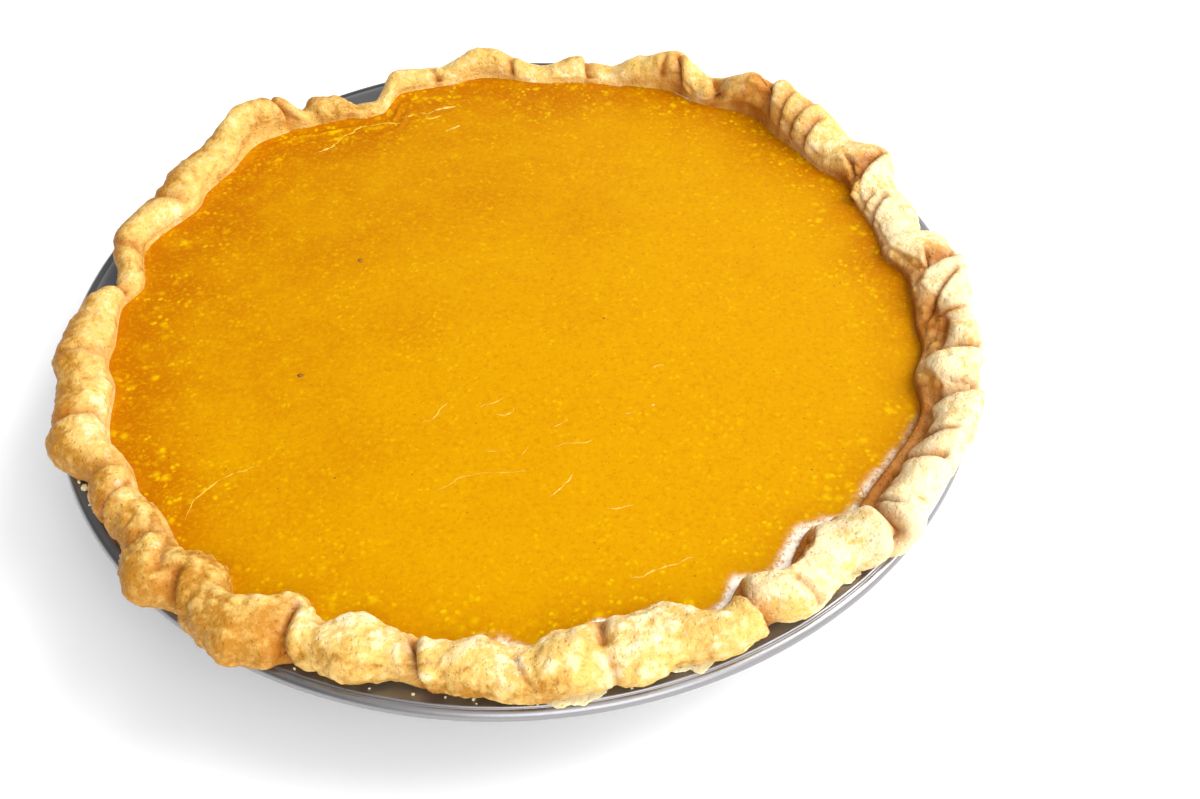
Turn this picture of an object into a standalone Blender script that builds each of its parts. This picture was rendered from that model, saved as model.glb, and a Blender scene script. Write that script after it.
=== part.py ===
# A kabocha pie in its own tin: a turned metal tin, a pastry case whose edge is folded by hand,
# and the baked squash filling. Metres, +Z up, origin at the centre of the tin's underside.

import math

import bpy
import numpy as np

MM = 0.001

# Tin, in millimetres. Heights of the pie are measured from the flat top of the tin's lip.
TIN_HEIGHT = 34.0
LIP_RADIUS = 125.0
LIP_INNER_RADIUS = 114.6
WALL_TOP_RADIUS = 112.6
WALL_TOP_DROP = 1.6
BASE_RADIUS = 92.5
BASE_CORNER_RISE = 1.6
BASE_CORNER_REACH = 3.0
SHEET = 0.8
WALL_SLANT = 1.15
BEAD_RADIUS = 1.6
BEAD_RISE = 0.35
BEAD_TURNS = (135, 90, 45, 0, -60, -140)
TIN_STEPS = 96

# Pastry case, in millimetres
GAP = 0.35
LINING = 4.6
BASE_PASTRY = 4.0
INSIDE_CORNER_RISE = 2.4
INSIDE_CORNER_REACH = 1.6
NECK_HEIGHT = -1.5
SEAM_HEIGHT = -7.0
COARSE_TOP = -12.0
FILL_EDGE_HEIGHT = 3.2
CREST_ABOVE_FILLING = 1.5
CENTRE_SHARE = 0.42
PUFF = 2.15
UNDERCUT = math.radians(42)
DOME_START_RISE = 0.6
DOME_END_RISE = 0.8
STEEPEST_START = 0.9
SOLE_REACH = 120.5
SOLE_INSET = 3.6
SOLE_LEAST_RADIUS = 113.7
SHOULDER_RADIUS = 113.2
SHOULDER_RISE = 0.2
COLLAR_HEIGHT = -2.4
FINE_STEPS = 240
COARSE_STEPS = 80
DOME_POINTS = 9

# Filling, in millimetres
MENISCUS_WIDTH = 2.2
MENISCUS_DROP = 0.7
FILLING_RINGS = ((98.0, 2.3), (75.0, 2.0), (40.0, 1.9))
FILLING_CENTRE_HEIGHT = 1.9

# The folded edge, at each lump and each pinch that the hand left:
# angle in degrees, inner radius, outer radius and height of the crest in millimetres
FOLDS = (
    (4, 109, 125, 11), (10.5, 105, 123.5, 9.8), (12.6, 106, 118.6, 7.8), (17, 107, 121, 8.8),
    (22, 107, 120.5, 8.2), (28.3, 110.5, 127, 11.5), (34, 108, 123, 9), (41.5, 109.3, 124.5, 13.8),
    (51, 114, 124.3, 15), (59.5, 110.5, 120.8, 8.2), (65.5, 113.5, 123.3, 13.5),
    (71.5, 111.5, 122, 9.6), (76.5, 110, 119.5, 5.2), (82.3, 109.5, 120.5, 7),
    (87.3, 108.3, 117.3, 5), (98, 113.4, 122.3, 10.8), (104.5, 111.4, 120, 6.2),
    (111.3, 112, 120.5, 7.7), (116.6, 104.2, 112.2, 4.2), (119.5, 104.2, 112.4, 4.4),
    (122.5, 107.4, 118.6, 7.6), (125.5, 109, 119.8, 7.8), (127.4, 110.5, 119, 5.8),
    (131.6, 114, 123.5, 12.6), (137, 116.3, 124.3, 14.8), (145.3, 111, 123.3, 9.5),
    (150, 110.7, 124, 9.3), (154.5, 108, 122.3, 8.7), (165, 113, 122.3, 9.5),
    (173.8, 107.2, 114.9, 6.8), (178.5, 111, 121, 8.8), (185.3, 110, 123.4, 9.8),
    (189.5, 111.2, 125, 10.2), (194, 109.3, 123.4, 9.4), (204, 112.8, 127.2, 10.8),
    (210, 110, 121, 9.3), (215.5, 111.4, 122.7, 10.3), (219.5, 109.8, 121.3, 9.8),
    (228, 113, 128.9, 11.8), (232.8, 109.4, 124.3, 10.5), (237.3, 115, 127.5, 11.3),
    (240.5, 111.5, 129, 11.8), (244.3, 107.2, 125.5, 10), (247.8, 110.6, 121.8, 9),
    (253.3, 106.4, 122.8, 10.6), (258, 108.8, 119.8, 9.2), (261.5, 110.5, 121, 9.7),
    (267, 108.6, 122.2, 10.4), (272.5, 111.5, 123.6, 10), (276.5, 108.5, 123, 11),
    (280.6, 105.5, 122, 9.2), (284, 106.3, 123.3, 10.3), (288.5, 105.5, 121.5, 10),
    (294.8, 113, 123.8, 10.8), (299.8, 108, 121, 10), (304, 111.8, 123.4, 10.4),
    (311.5, 106, 121.3, 9.2), (315, 108, 125, 11), (317.3, 111, 126.2, 12.5), (323, 110, 124, 11),
    (337.5, 112, 125.2, 12), (344, 108.2, 122.7, 11), (349.5, 109.7, 124.4, 12),
    (354.5, 108.3, 122.2, 11),
)

# Where the rim leans away from the filling: angle, and how far the crest is moved out
LEANS = ((2, 2.0), (14, 0.0), (308, 0.0), (318, 3.6), (332, 3.2), (342, 4.2), (354, 3.0))

# Creases between folds: angle at the filling, angle at the outside, depth and width in
# millimetres, and the stretch across the rim, from 0 at the filling to 1 at the outside
CREASES = (
    (357.5, 9, 3.0, 3.8, 0.0, 0.5), (11, 22, 3.2, 3.8, 0.0, 0.6), (21, 32, 3.4, 3.8, 0.0, 0.6),
    (35, 41, 2.8, 3.4, 0.0, 0.6), (39.5, 48, 2.8, 3.4, 0.0, 0.7), (46, 53, 4.0, 4.6, 0.0, 0.65),
    (57, 61, 4.2, 4.8, 0.0, 0.45), (62.5, 66, 2.6, 3.4, 0.0, 0.6), (67.5, 68.5, 2.0, 3.0, 0.1, 0.6),
    (79, 82, 2.2, 3.2, 0.0, 0.7), (92, 93, 1.6, 3.0, 0.0, 0.4), (108, 108, 1.4, 3.0, 0.0, 0.4),
    (130, 131, 2.8, 3.4, 0.0, 0.9), (194, 194, 1.4, 3.0, 0.1, 0.4), (217, 219.5, 2.2, 3.4, 0.4, 1.0),
    (232, 235, 2.4, 3.4, 0.3, 1.0), (244, 247.5, 3.4, 3.4, 0.1, 1.0), (259.5, 262, 3.2, 3.4, 0.1, 1.0),
    (281, 280.5, 2.8, 3.4, 0.0, 0.9), (297, 294, 2.4, 3.4, 0.0, 0.4), (318, 311, 3.4, 3.4, 0.1, 1.0),
    (345, 346, 2.6, 3.6, 0.0, 0.5),
)
CREASE_FADE = 0.12


def clear_scene():
    for item in list(bpy.data.objects):
        bpy.data.objects.remove(item, do_unlink=True)


def parts_collection():
    collection = bpy.data.collections.new("kabocha_pie")
    bpy.context.scene.collection.children.link(collection)
    return collection


def material(name, colour, roughness, metallic=0.0):
    made = bpy.data.materials.new(name)
    made.use_nodes = True
    shader = made.node_tree.nodes["Principled BSDF"]
    shader.inputs["Base Color"].default_value = (*colour, 1.0)
    shader.inputs["Roughness"].default_value = roughness
    shader.inputs["Metallic"].default_value = metallic
    made.diffuse_color = (*colour, 1.0)
    return made


def smoothstep(x):
    x = np.clip(x, 0.0, 1.0)
    return x * x * (3.0 - 2.0 * x)


def eased_round(rows, angles):
    """The rows' values at each angle, eased from row to row and round past the last one."""
    table = np.array(rows, dtype=float)
    turn = np.zeros(table.shape[1])
    turn[0] = 360.0
    table = np.vstack((table[-1:] - turn, table, table[:1] + turn))
    after = np.clip(np.searchsorted(table[:, 0], angles, side="right"), 1, len(table) - 1)
    start, end = table[after - 1], table[after]
    share = smoothstep((angles - start[:, 0]) / (end[:, 0] - start[:, 0]))
    return (start[:, 1:] + (end[:, 1:] - start[:, 1:]) * share[:, None]).T


def crease_depth(angles, across, middle_radius):
    """How far the surface is pressed in at one stretch across the rim, summed over the creases."""
    depth = np.zeros_like(angles)
    for at_filling, at_outside, deep, wide, begins, ends in CREASES:
        line = at_filling + (at_outside - at_filling) * across
        turn = (angles - line + 180.0) % 360.0 - 180.0
        along = np.radians(turn) * middle_radius
        begun = smoothstep((across - begins) / CREASE_FADE + 0.5)
        going = smoothstep((ends - across) / CREASE_FADE + 0.5)
        depth += deep * begun * going * np.exp(-((along / (0.5 * wide)) ** 2))
    return depth


def tin_wall_radius(height):
    """Inside radius of the tin at a height below its lip."""
    foot_radius = BASE_RADIUS + BASE_CORNER_REACH
    foot_height = SHEET - TIN_HEIGHT + BASE_CORNER_RISE
    slope = (WALL_TOP_RADIUS - foot_radius) / (-WALL_TOP_DROP - foot_height)
    return foot_radius + slope * (height - foot_height)


def lining_radius(height):
    """Inside radius of the pastry that lines the tin's wall."""
    return tin_wall_radius(height) - GAP - LINING


def fill_edge_heights(crest):
    """Height of the filling's edge: level, and lower only where the rim itself is low."""
    return np.minimum(FILL_EDGE_HEIGHT, crest - CREST_ABOVE_FILLING)


def inner_face(angles):
    """The pastry's inner face up to the filling's edge, as rows of radius and height."""
    inner, _, crest = eased_round(FOLDS, angles)
    seam = lining_radius(SEAM_HEIGHT)
    neck = np.minimum(lining_radius(NECK_HEIGHT), 0.5 * (inner + seam))
    return [(seam, SEAM_HEIGHT), (neck, NECK_HEIGHT), (inner, fill_edge_heights(crest))]


def dome(angles):
    """The rim from the filling's edge over the crest to the outside, as rows.

    Each section is a squarish ellipse round a point between the inner and the outer face.
    It starts just above the filling and ends where the outer face curls back under."""
    inner, outer, crest = eased_round(FOLDS, angles)
    lean = eased_round(LEANS, angles)[0]
    middle = 0.5 * (inner + outer)
    half_width = 0.5 * (outer - inner)
    centre = CENTRE_SHARE * crest
    above = crest - centre
    below = centre - DOME_END_RISE
    first_rise = fill_edge_heights(crest) + DOME_START_RISE - centre
    start = np.arcsin(np.clip(first_rise / above, 0.0, STEEPEST_START))
    rows = []
    for across in np.linspace(0.0, 1.0, DOME_POINTS):
        turn = start + (math.pi + UNDERCUT - start) * across
        sideways = np.sign(np.cos(turn)) * np.abs(np.cos(turn)) ** (2.0 / PUFF)
        upwards = np.sign(np.sin(turn)) * np.abs(np.sin(turn)) ** (2.0 / PUFF)
        out = -half_width * sideways
        up = np.where(upwards > 0.0, above, below) * upwards
        pressed = 1.0 - crease_depth(angles, across, middle) / np.hypot(half_width, above)
        leant = lean * np.maximum(upwards, 0.0)
        rows.append((middle + leant + out * pressed, centre + up * pressed))
    return rows


def sole(angles):
    """The underside of the rim on the lip, and the pastry's turn down into the tin, as rows."""
    _, outer, _ = eased_round(FOLDS, angles)
    rest = np.clip(outer - SOLE_INSET, SOLE_LEAST_RADIUS, SOLE_REACH)
    collar = tin_wall_radius(COLLAR_HEIGHT) - GAP
    return [(rest, GAP), (SHOULDER_RADIUS, SHOULDER_RISE), (collar, COLLAR_HEIGHT)]


def ring_points(angles, radius, height):
    """Points round the pie at the given radii and heights, in metres above the tin's foot."""
    turn = np.radians(angles)
    points = np.stack((radius * np.cos(turn), radius * np.sin(turn), height + TIN_HEIGHT), axis=1)
    return points * MM


class Lathe:
    """Collects rings of points and joins each to the one before with triangles, as a closed skin.

    The skin of the filling rises along the face that the pastry's skin comes down, and each
    square there is split along the same diagonal, so the two faces keep their gap."""

    def __init__(self, rising):
        self.rising = rising
        self.points = []
        self.faces = []
        self.count = 0
        self.last = None

    def ring(self, angles, radius, height):
        radius = np.broadcast_to(radius, angles.shape)
        height = np.broadcast_to(height, angles.shape)
        self.add(ring_points(angles, radius, height))

    def pole(self, height):
        """A single point on the axis, which starts or ends the skin."""
        self.add(np.array([[0.0, 0.0, (height + TIN_HEIGHT) * MM]]))

    def add(self, points):
        ring = self.count + np.arange(len(points))
        self.points.append(points)
        self.count += len(points)
        if self.last is not None:
            self.join(self.last, ring)
        self.last = ring

    def join(self, before, after):
        """Two triangles at each step, or one where a ring has fewer points than the other."""
        steps = max(len(before), len(after))
        for step in range(steps):
            here, near = self.pair(before, step, steps)
            there, far = self.pair(after, step, steps)
            if self.rising:
                triangles = ((here, near, far), (here, far, there))
            else:
                triangles = ((here, near, there), (near, far, there))
            self.faces.extend(corners for corners in triangles if len(set(corners)) == 3)

    @staticmethod
    def pair(ring, step, steps):
        """The ring's points at the start and at the end of a step."""
        start = step * len(ring) // steps
        end = (step + 1) * len(ring) // steps % len(ring)
        return int(ring[start]), int(ring[end])

    def object(self, name, collection, finish):
        mesh = bpy.data.meshes.new(name)
        mesh.from_pydata(np.concatenate(self.points).tolist(), [], self.faces)
        mesh.materials.append(finish)
        mesh.shade_smooth()
        mesh.set_sharp_from_angle(angle=math.radians(60))
        made = bpy.data.objects.new(name, mesh)
        collection.objects.link(made)
        return made


def step_angles(steps):
    return np.arange(steps) * 360.0 / steps


def make_crust(collection):
    """The pastry case: from under its base, up the tin's wall, over the rim and down the inside."""
    fine, coarse = step_angles(FINE_STEPS), step_angles(COARSE_STEPS)
    outside_base = SHEET - TIN_HEIGHT + GAP
    inside_base = outside_base + BASE_PASTRY
    foot = outside_base + BASE_CORNER_RISE
    corner = inside_base + INSIDE_CORNER_RISE
    skin = Lathe(rising=False)
    skin.pole(outside_base)
    skin.ring(coarse, BASE_RADIUS - GAP, outside_base)
    skin.ring(coarse, tin_wall_radius(foot) - GAP, foot)
    skin.ring(coarse, tin_wall_radius(SEAM_HEIGHT) - GAP, SEAM_HEIGHT)
    for radius, height in reversed(inner_face(fine) + dome(fine) + sole(fine)):
        skin.ring(fine, radius, height)
    skin.ring(coarse, lining_radius(COARSE_TOP), COARSE_TOP)
    skin.ring(coarse, lining_radius(corner), corner)
    skin.ring(coarse, lining_radius(inside_base) - INSIDE_CORNER_REACH, inside_base)
    skin.pole(inside_base)
    return skin.object("crust", collection, material("baked_pastry", (0.87, 0.55, 0.20), 0.62))


def make_filling(collection):
    """The baked squash custard, which fills the case up to its edge and follows its inner face."""
    fine, coarse = step_angles(FINE_STEPS), step_angles(COARSE_STEPS)
    base = SHEET - TIN_HEIGHT + GAP + BASE_PASTRY + GAP
    corner = base + INSIDE_CORNER_RISE
    seam, neck, edge = inner_face(fine)
    skin = Lathe(rising=True)
    skin.pole(base)
    skin.ring(coarse, lining_radius(base) - INSIDE_CORNER_REACH - GAP, base)
    skin.ring(coarse, lining_radius(corner) - GAP, corner)
    skin.ring(coarse, lining_radius(COARSE_TOP) - GAP, COARSE_TOP)
    for radius, height in (seam, neck, edge):
        skin.ring(fine, radius - GAP, height)
    skin.ring(fine, edge[0] - GAP - MENISCUS_WIDTH, edge[1] - MENISCUS_DROP)
    for radius, height in FILLING_RINGS:
        skin.ring(coarse, radius, height)
    skin.pole(FILLING_CENTRE_HEIGHT)
    return skin.object("filling", collection, material("squash_custard", (0.86, 0.42, 0.01), 0.42))


def bead_points():
    """The rolled edge of the lip, from its inner side over the top and back under."""
    centre_radius = LIP_RADIUS - BEAD_RADIUS
    centre_height = BEAD_RISE - BEAD_RADIUS
    turns = np.radians(BEAD_TURNS)
    return [
        (centre_radius + BEAD_RADIUS * math.cos(turn), centre_height + BEAD_RADIUS * math.sin(turn))
        for turn in turns
    ]


def tin_profile():
    """Up the inside from the middle, out along the lip, round its rolled edge and back down."""
    floor = SHEET - TIN_HEIGHT
    foot_radius = BASE_RADIUS + BASE_CORNER_REACH
    outward = SHEET * WALL_SLANT
    return [
        (0.0, floor),
        (BASE_RADIUS, floor),
        (foot_radius, floor + BASE_CORNER_RISE),
        (WALL_TOP_RADIUS, -WALL_TOP_DROP),
        (LIP_INNER_RADIUS, 0.0),
        *bead_points(),
        (LIP_INNER_RADIUS + 0.5 * SHEET, -SHEET),
        (WALL_TOP_RADIUS + outward, -WALL_TOP_DROP - 0.5 * SHEET),
        (foot_radius + outward, floor + BASE_CORNER_RISE - 0.5 * SHEET),
        (BASE_RADIUS + SHEET, -TIN_HEIGHT),
        (0.0, -TIN_HEIGHT),
    ]


def make_tin(collection):
    """The turned sheet metal tin, by a Screw modifier on its profile."""
    points = [(radius * MM, 0.0, (height + TIN_HEIGHT) * MM) for radius, height in tin_profile()]
    edges = [(i, i + 1) for i in range(len(points) - 1)]
    mesh = bpy.data.meshes.new("tin")
    mesh.from_pydata(points, edges, [])
    mesh.materials.append(material("dark_coated_metal", (0.10, 0.10, 0.105), 0.34, 0.9))
    made = bpy.data.objects.new("tin", mesh)
    collection.objects.link(made)
    screw = made.modifiers.new("turn", "SCREW")
    screw.axis = "Z"
    screw.steps = TIN_STEPS
    screw.render_steps = TIN_STEPS
    screw.use_merge_vertices = True
    screw.merge_threshold = 0.00001
    screw.use_smooth_shade = True
    return made


def main():
    clear_scene()
    collection = parts_collection()
    make_tin(collection)
    make_crust(collection)
    make_filling(collection)


main()
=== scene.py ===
# %% [markdown]
# # A kabocha pie in its own tin
#
# This lesson dresses a plain model of a baked squash pie. The plain model already has the right
# size and the main forms: a turned tin, a pastry case with a folded edge, and the filling.
# Here each of the three gets a finely worked surface and a material of its own, and then
# the crumbs, the flakes and the hairline cracks that such a pie has are added.
# All sizes of the pie are in millimetres until the last moment, when a mesh is made in metres.

import math

import bpy
import numpy as np
from mathutils import Matrix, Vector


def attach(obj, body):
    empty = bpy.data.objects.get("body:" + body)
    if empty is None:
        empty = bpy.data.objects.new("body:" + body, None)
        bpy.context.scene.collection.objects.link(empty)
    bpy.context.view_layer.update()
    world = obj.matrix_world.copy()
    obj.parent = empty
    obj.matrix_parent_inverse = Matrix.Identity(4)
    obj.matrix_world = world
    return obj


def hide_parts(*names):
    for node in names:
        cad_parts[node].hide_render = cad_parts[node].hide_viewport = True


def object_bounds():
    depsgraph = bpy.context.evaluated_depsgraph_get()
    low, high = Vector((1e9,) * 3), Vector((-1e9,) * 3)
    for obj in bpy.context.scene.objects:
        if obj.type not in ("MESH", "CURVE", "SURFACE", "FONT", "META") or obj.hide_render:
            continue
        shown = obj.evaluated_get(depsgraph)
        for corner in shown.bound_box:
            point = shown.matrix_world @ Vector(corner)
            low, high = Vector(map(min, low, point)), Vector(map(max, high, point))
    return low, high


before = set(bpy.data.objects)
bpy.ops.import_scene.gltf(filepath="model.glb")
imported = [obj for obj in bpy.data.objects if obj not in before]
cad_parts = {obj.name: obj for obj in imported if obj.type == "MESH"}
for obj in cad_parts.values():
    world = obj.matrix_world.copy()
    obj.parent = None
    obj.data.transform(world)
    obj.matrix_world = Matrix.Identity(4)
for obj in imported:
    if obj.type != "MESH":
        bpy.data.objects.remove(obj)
plain_box = [[float(value) for value in corner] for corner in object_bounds()]
MM = 0.001
print("The plain model's corners in metres:", plain_box)

# %% [markdown]
# ## The camera
#
# The photograph looks down on the pie from the near side. The long and the short diameter of
# the tin's lip in the picture, and how much nearer its front is than its back, give the height,
# the distance and the lens. The camera is also turned a little about its own line of sight.

# %% Camera
SENSOR_WIDTH = 36.0
LENS = 40.8
CAMERA_PLACE = (0.02174, -0.27394, 0.29597)
CAMERA_PITCH = math.radians(42.715)
CAMERA_ROLL = math.radians(-1.204)

camera_data = bpy.data.cameras.new("camera")
camera_data.sensor_width = SENSOR_WIDTH
camera_data.lens = LENS
camera_data.clip_start = 0.01
camera = bpy.data.objects.new("camera", camera_data)
bpy.context.scene.collection.objects.link(camera)
pitch = Matrix.Rotation(CAMERA_PITCH, 4, "X")
roll = Matrix.Rotation(CAMERA_ROLL, 4, "Z")
camera.matrix_world = Matrix.Translation(CAMERA_PLACE) @ pitch @ roll
bpy.context.scene.camera = camera
camera_distance = round(math.dist(CAMERA_PLACE, (0, 0, 0)), 3)
print("The camera stands", camera_distance, "metres from the tin's foot")

# %% [markdown]
# ## Whole-array helpers
#
# Every surface below is a grid of points, worked out for all its points at once. A few helpers
# do that. One eases between rows of a table that goes round the pie. One makes smooth noise from
# a block of random numbers. One finds the nearest of many scattered centres, for blisters.

# %% Easing
FULL_TURN = 360.0


def smoothstep(x):
    """Eases from 0 to 1: three x squared less two x cubed, with x kept between 0 and 1."""
    x = np.clip(x, 0.0, 1.0)
    return x * x * (3.0 - 2.0 * x)


def eased_round(rows, angles):
    """The rows' values at each angle, eased from row to row and round past the last one.

    Each row is an angle in degrees and its values. Between two rows the value is the first
    plus the difference times smoothstep of the share of the way from one angle to the next."""
    table = np.array(rows, dtype=float)
    turn = np.zeros(table.shape[1])
    turn[0] = FULL_TURN
    table = np.vstack((table[-1:] - turn, table, table[:1] + turn))
    after = np.clip(np.searchsorted(table[:, 0], angles, side="right"), 1, len(table) - 1)
    start, end = table[after - 1], table[after]
    share = smoothstep((angles - start[:, 0]) / (end[:, 0] - start[:, 0]))
    return (start[:, 1:] + (end[:, 1:] - start[:, 1:]) * share[:, None]).T


def turn_between(angles, centre):
    """The signed turn from a centre to each angle in degrees, between minus and plus 180."""
    return (angles - centre + 180.0) % FULL_TURN - 180.0


print("Half way, the easing gives", float(smoothstep(np.array(0.5))))

# %% Smooth noise and scattered centres
NOISE_CELLS = 32
SCATTER_CELLS = 16


def noise(points, size, seed):
    """Smooth noise from -1 to 1 whose features are about as wide as size.

    Space is cut into cubes, each corner has a random number, and a point takes the mean of
    the eight corners round it, weighted by smoothstep of its place along each side."""
    numbers = np.random.default_rng(seed).uniform(-1.0, 1.0, (NOISE_CELLS,) * 3)
    place = points / size
    low = np.floor(place).astype(int)
    share = smoothstep(place - low)
    total = np.zeros(points.shape[:-1])
    for corner in np.ndindex(2, 2, 2):
        step = np.array(corner)
        weight = np.where(step == 1, share, 1.0 - share).prod(axis=-1)
        i, j, k = np.moveaxis((low + step) % NOISE_CELLS, -1, 0)
        total += weight * numbers[i, j, k]
    return total


def rough(points, size, seed, octaves=3):
    """The sum of several noises, each half as wide and half as strong as the one before."""
    return sum(noise(points, size / 2**i, seed + i) / 2**i for i in range(octaves))


def nearest_centre(points, size, seed):
    """The distance to the nearest of many scattered centres, and that centre's own number.

    There is one centre at a random place in each cube, and the distance is in cube sides."""
    numbers = np.random.default_rng(seed).random((SCATTER_CELLS,) * 3 + (4,))
    place = points / size
    low = np.floor(place).astype(int)
    best = np.full(points.shape[:-1], np.inf)
    own = np.zeros(points.shape[:-1])
    for corner in np.ndindex(3, 3, 3):
        cube = low + np.array(corner) - 1
        i, j, k = np.moveaxis(cube % SCATTER_CELLS, -1, 0)
        pick = numbers[i, j, k]
        distance = np.linalg.norm(cube + pick[..., :3] - place, axis=-1)
        closer = distance < best
        best = np.where(closer, distance, best)
        own = np.where(closer, pick[..., 3], own)
    return best, own


print("A sample of the noise:", round(float(noise(np.array([[3.1, 4.2, 5.3]]), 2.0, 1)[0]), 3))

# %% Meshes from rings
def ring_faces(rows, steps):
    """Squares between each ring of points and the next, closed round the rings."""
    index = np.arange(rows * steps).reshape(rows, steps)
    near, far = index[:-1], index[1:]
    squares = np.stack((near, np.roll(near, -1, axis=1), np.roll(far, -1, axis=1), far), axis=-1)
    return squares.reshape(-1, 4)


def fan_faces(ring, pole, ends):
    """Triangles between a ring and a pole, turned over where the pole ends the skin."""
    after = np.roll(ring, -1)
    pole = np.full_like(ring, pole)
    return np.stack((ring, after, pole) if ends else (after, ring, pole), axis=-1)


def mesh_object(name, points, faces):
    """An object at the origin from points in millimetres above the foot of the tin."""
    mesh = bpy.data.meshes.new(name)
    mesh.from_pydata((points * MM).tolist(), [], faces)
    mesh.polygons.foreach_set("use_smooth", np.full(len(mesh.polygons), True))
    mesh.validate()
    made = bpy.data.objects.new(name, mesh)
    bpy.context.scene.collection.objects.link(made)
    return made


def signed_volume(points, faces):
    """The volume inside a closed skin, which is negative if its faces point inwards.

    It is the sum over triangles of a sixth of the product of a corner with the cross product
    of the other two."""
    halves = [(face[0], face[2], face[3]) for face in faces if len(face) == 4]
    corners = np.array([face[:3] for face in faces] + halves)
    a, b, c = points[corners[:, 0]], points[corners[:, 1]], points[corners[:, 2]]
    return float((a * np.cross(b, c)).sum() / 6.0)


def closed_skin(rings, first_pole=None, last_pole=None):
    """Points and faces of a closed skin through rings of points, with a pole at either end."""
    rows, steps, _ = rings.shape
    points = rings.reshape(-1, 3)
    faces = ring_faces(rows, steps).tolist()
    if first_pole is not None:
        faces += fan_faces(np.arange(steps), len(points), ends=False).tolist()
        points = np.vstack((points, first_pole))
    if last_pole is not None:
        faces += fan_faces(np.arange(steps) + (rows - 1) * steps, len(points), ends=True).tolist()
        points = np.vstack((points, last_pole))
    if signed_volume(points, faces) < 0.0:
        faces = [face[::-1] for face in faces]
    return points, faces


def skins_object(name, skins):
    """One object from one or more closed skins."""
    points, faces = [], []
    for skin_points, skin_faces in skins:
        start = sum(len(part) for part in points)
        faces += [[start + corner for corner in face] for face in skin_faces]
        points.append(skin_points)
    triangles = sum(len(face) - 2 for face in faces)
    print(name, "has", triangles, "triangles in", len(skins), "skins")
    return mesh_object(name, np.concatenate(points), faces)


def ring_skin(name, rings, first_pole=None, last_pole=None):
    """An object with one closed skin through rings of points."""
    return skins_object(name, [closed_skin(rings, first_pole, last_pole)])


def keep_values(item, name, values):
    """Keeps one number at each point of a mesh, for its material to read by that name.

    A pole at the end of the points takes the mean."""
    missing = len(item.data.vertices) - len(values)
    values = np.concatenate((values, np.full(missing, values.mean())))
    item.data.attributes.new(name, "FLOAT", "POINT").data.foreach_set("value", values)


# %% [markdown]
# ## The folded edge, as tables
#
# The edge of the pastry was folded and pinched by hand, so no rule gives its shape. A table
# holds its inner radius, outer radius and crest height at each lump and each pinch. It has the
# same numbers as the plain model. More tables say where the rim leans out, where the folds lap
# over each other in creases, where a pocket is pressed in or a knob stands out, how strong the
# fine relief is, and how far the inner face reaches, which is browner and carries painted shade.
# A place on the rim is given by the angle round the pie, from the right and against the clock,
# and by the share of the way across the rim, from 0 at the filling to 1 under the outside.

# %% Tables of the folded edge
TIN_HEIGHT = 34.0
FOLDS = (  # angle, inner radius, outer radius, crest height above the lip
    (4, 109, 125, 11), (10.5, 105, 123.5, 9.8), (12.6, 106, 118.6, 7.8), (17, 107, 121, 8.8),
    (22, 107, 120.5, 8.2), (28.3, 110.5, 127, 11.5), (34, 108, 123, 9), (41.5, 109.3, 124.5, 13.8),
    (51, 114, 124.3, 15), (59.5, 110.5, 120.8, 8.2), (65.5, 113.5, 123.3, 13.5),
    (71.5, 111.5, 122, 9.6), (76.5, 110, 119.5, 5.2), (82.3, 109.5, 120.5, 7),
    (87.3, 108.3, 117.3, 5), (98, 113.4, 122.3, 10.8), (104.5, 111.4, 120, 6.2),
    (111.3, 112, 120.5, 7.7), (116.6, 104.2, 112.2, 4.2), (119.5, 104.2, 112.4, 4.4),
    (122.5, 107.4, 118.6, 7.6), (125.5, 109, 119.8, 7.8), (127.4, 110.5, 119, 5.8),
    (131.6, 114, 123.5, 12.6), (137, 116.3, 124.3, 14.8), (145.3, 111, 123.3, 9.5),
    (150, 110.7, 124, 9.3), (154.5, 108, 122.3, 8.7), (165, 113, 122.3, 9.5),
    (173.8, 107.2, 114.9, 6.8), (178.5, 111, 121, 8.8), (185.3, 110, 123.4, 9.8),
    (189.5, 111.2, 125, 10.2), (194, 109.3, 123.4, 9.4), (204, 112.8, 127.2, 10.8),
    (210, 110, 121, 9.3), (215.5, 111.4, 122.7, 10.3), (219.5, 109.8, 121.3, 9.8),
    (228, 113, 128.9, 11.8), (232.8, 109.4, 124.3, 10.5), (237.3, 115, 127.5, 11.3),
    (240.5, 111.5, 129, 11.8), (244.3, 107.2, 125.5, 10), (247.8, 110.6, 121.8, 9),
    (253.3, 106.4, 122.8, 10.6), (258, 108.8, 119.8, 9.2), (261.5, 110.5, 121, 9.7),
    (267, 108.6, 122.2, 10.4), (272.5, 111.5, 123.6, 10), (276.5, 108.5, 123, 11),
    (280.6, 105.5, 122, 9.2), (284, 106.3, 123.3, 10.3), (288.5, 105.5, 121.5, 10),
    (294.8, 113, 123.8, 10.8), (299.8, 108, 121, 10), (304, 111.8, 123.4, 10.4),
    (311.5, 106, 121.3, 9.2), (315, 108, 125, 11), (317.3, 111, 126.2, 12.5), (323, 110, 124, 11),
    (337.5, 112, 125.2, 12), (344, 108.2, 122.7, 11), (349.5, 109.7, 124.4, 12),
    (354.5, 108.3, 122.2, 11),
)

# Where the rim leans away from the filling: angle, and how far the crest is moved out
LEANS = ((2, 2.0), (14, 0.0), (308, 0.0), (318, 3.6), (332, 3.2), (342, 4.2), (354, 3.0))

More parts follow.
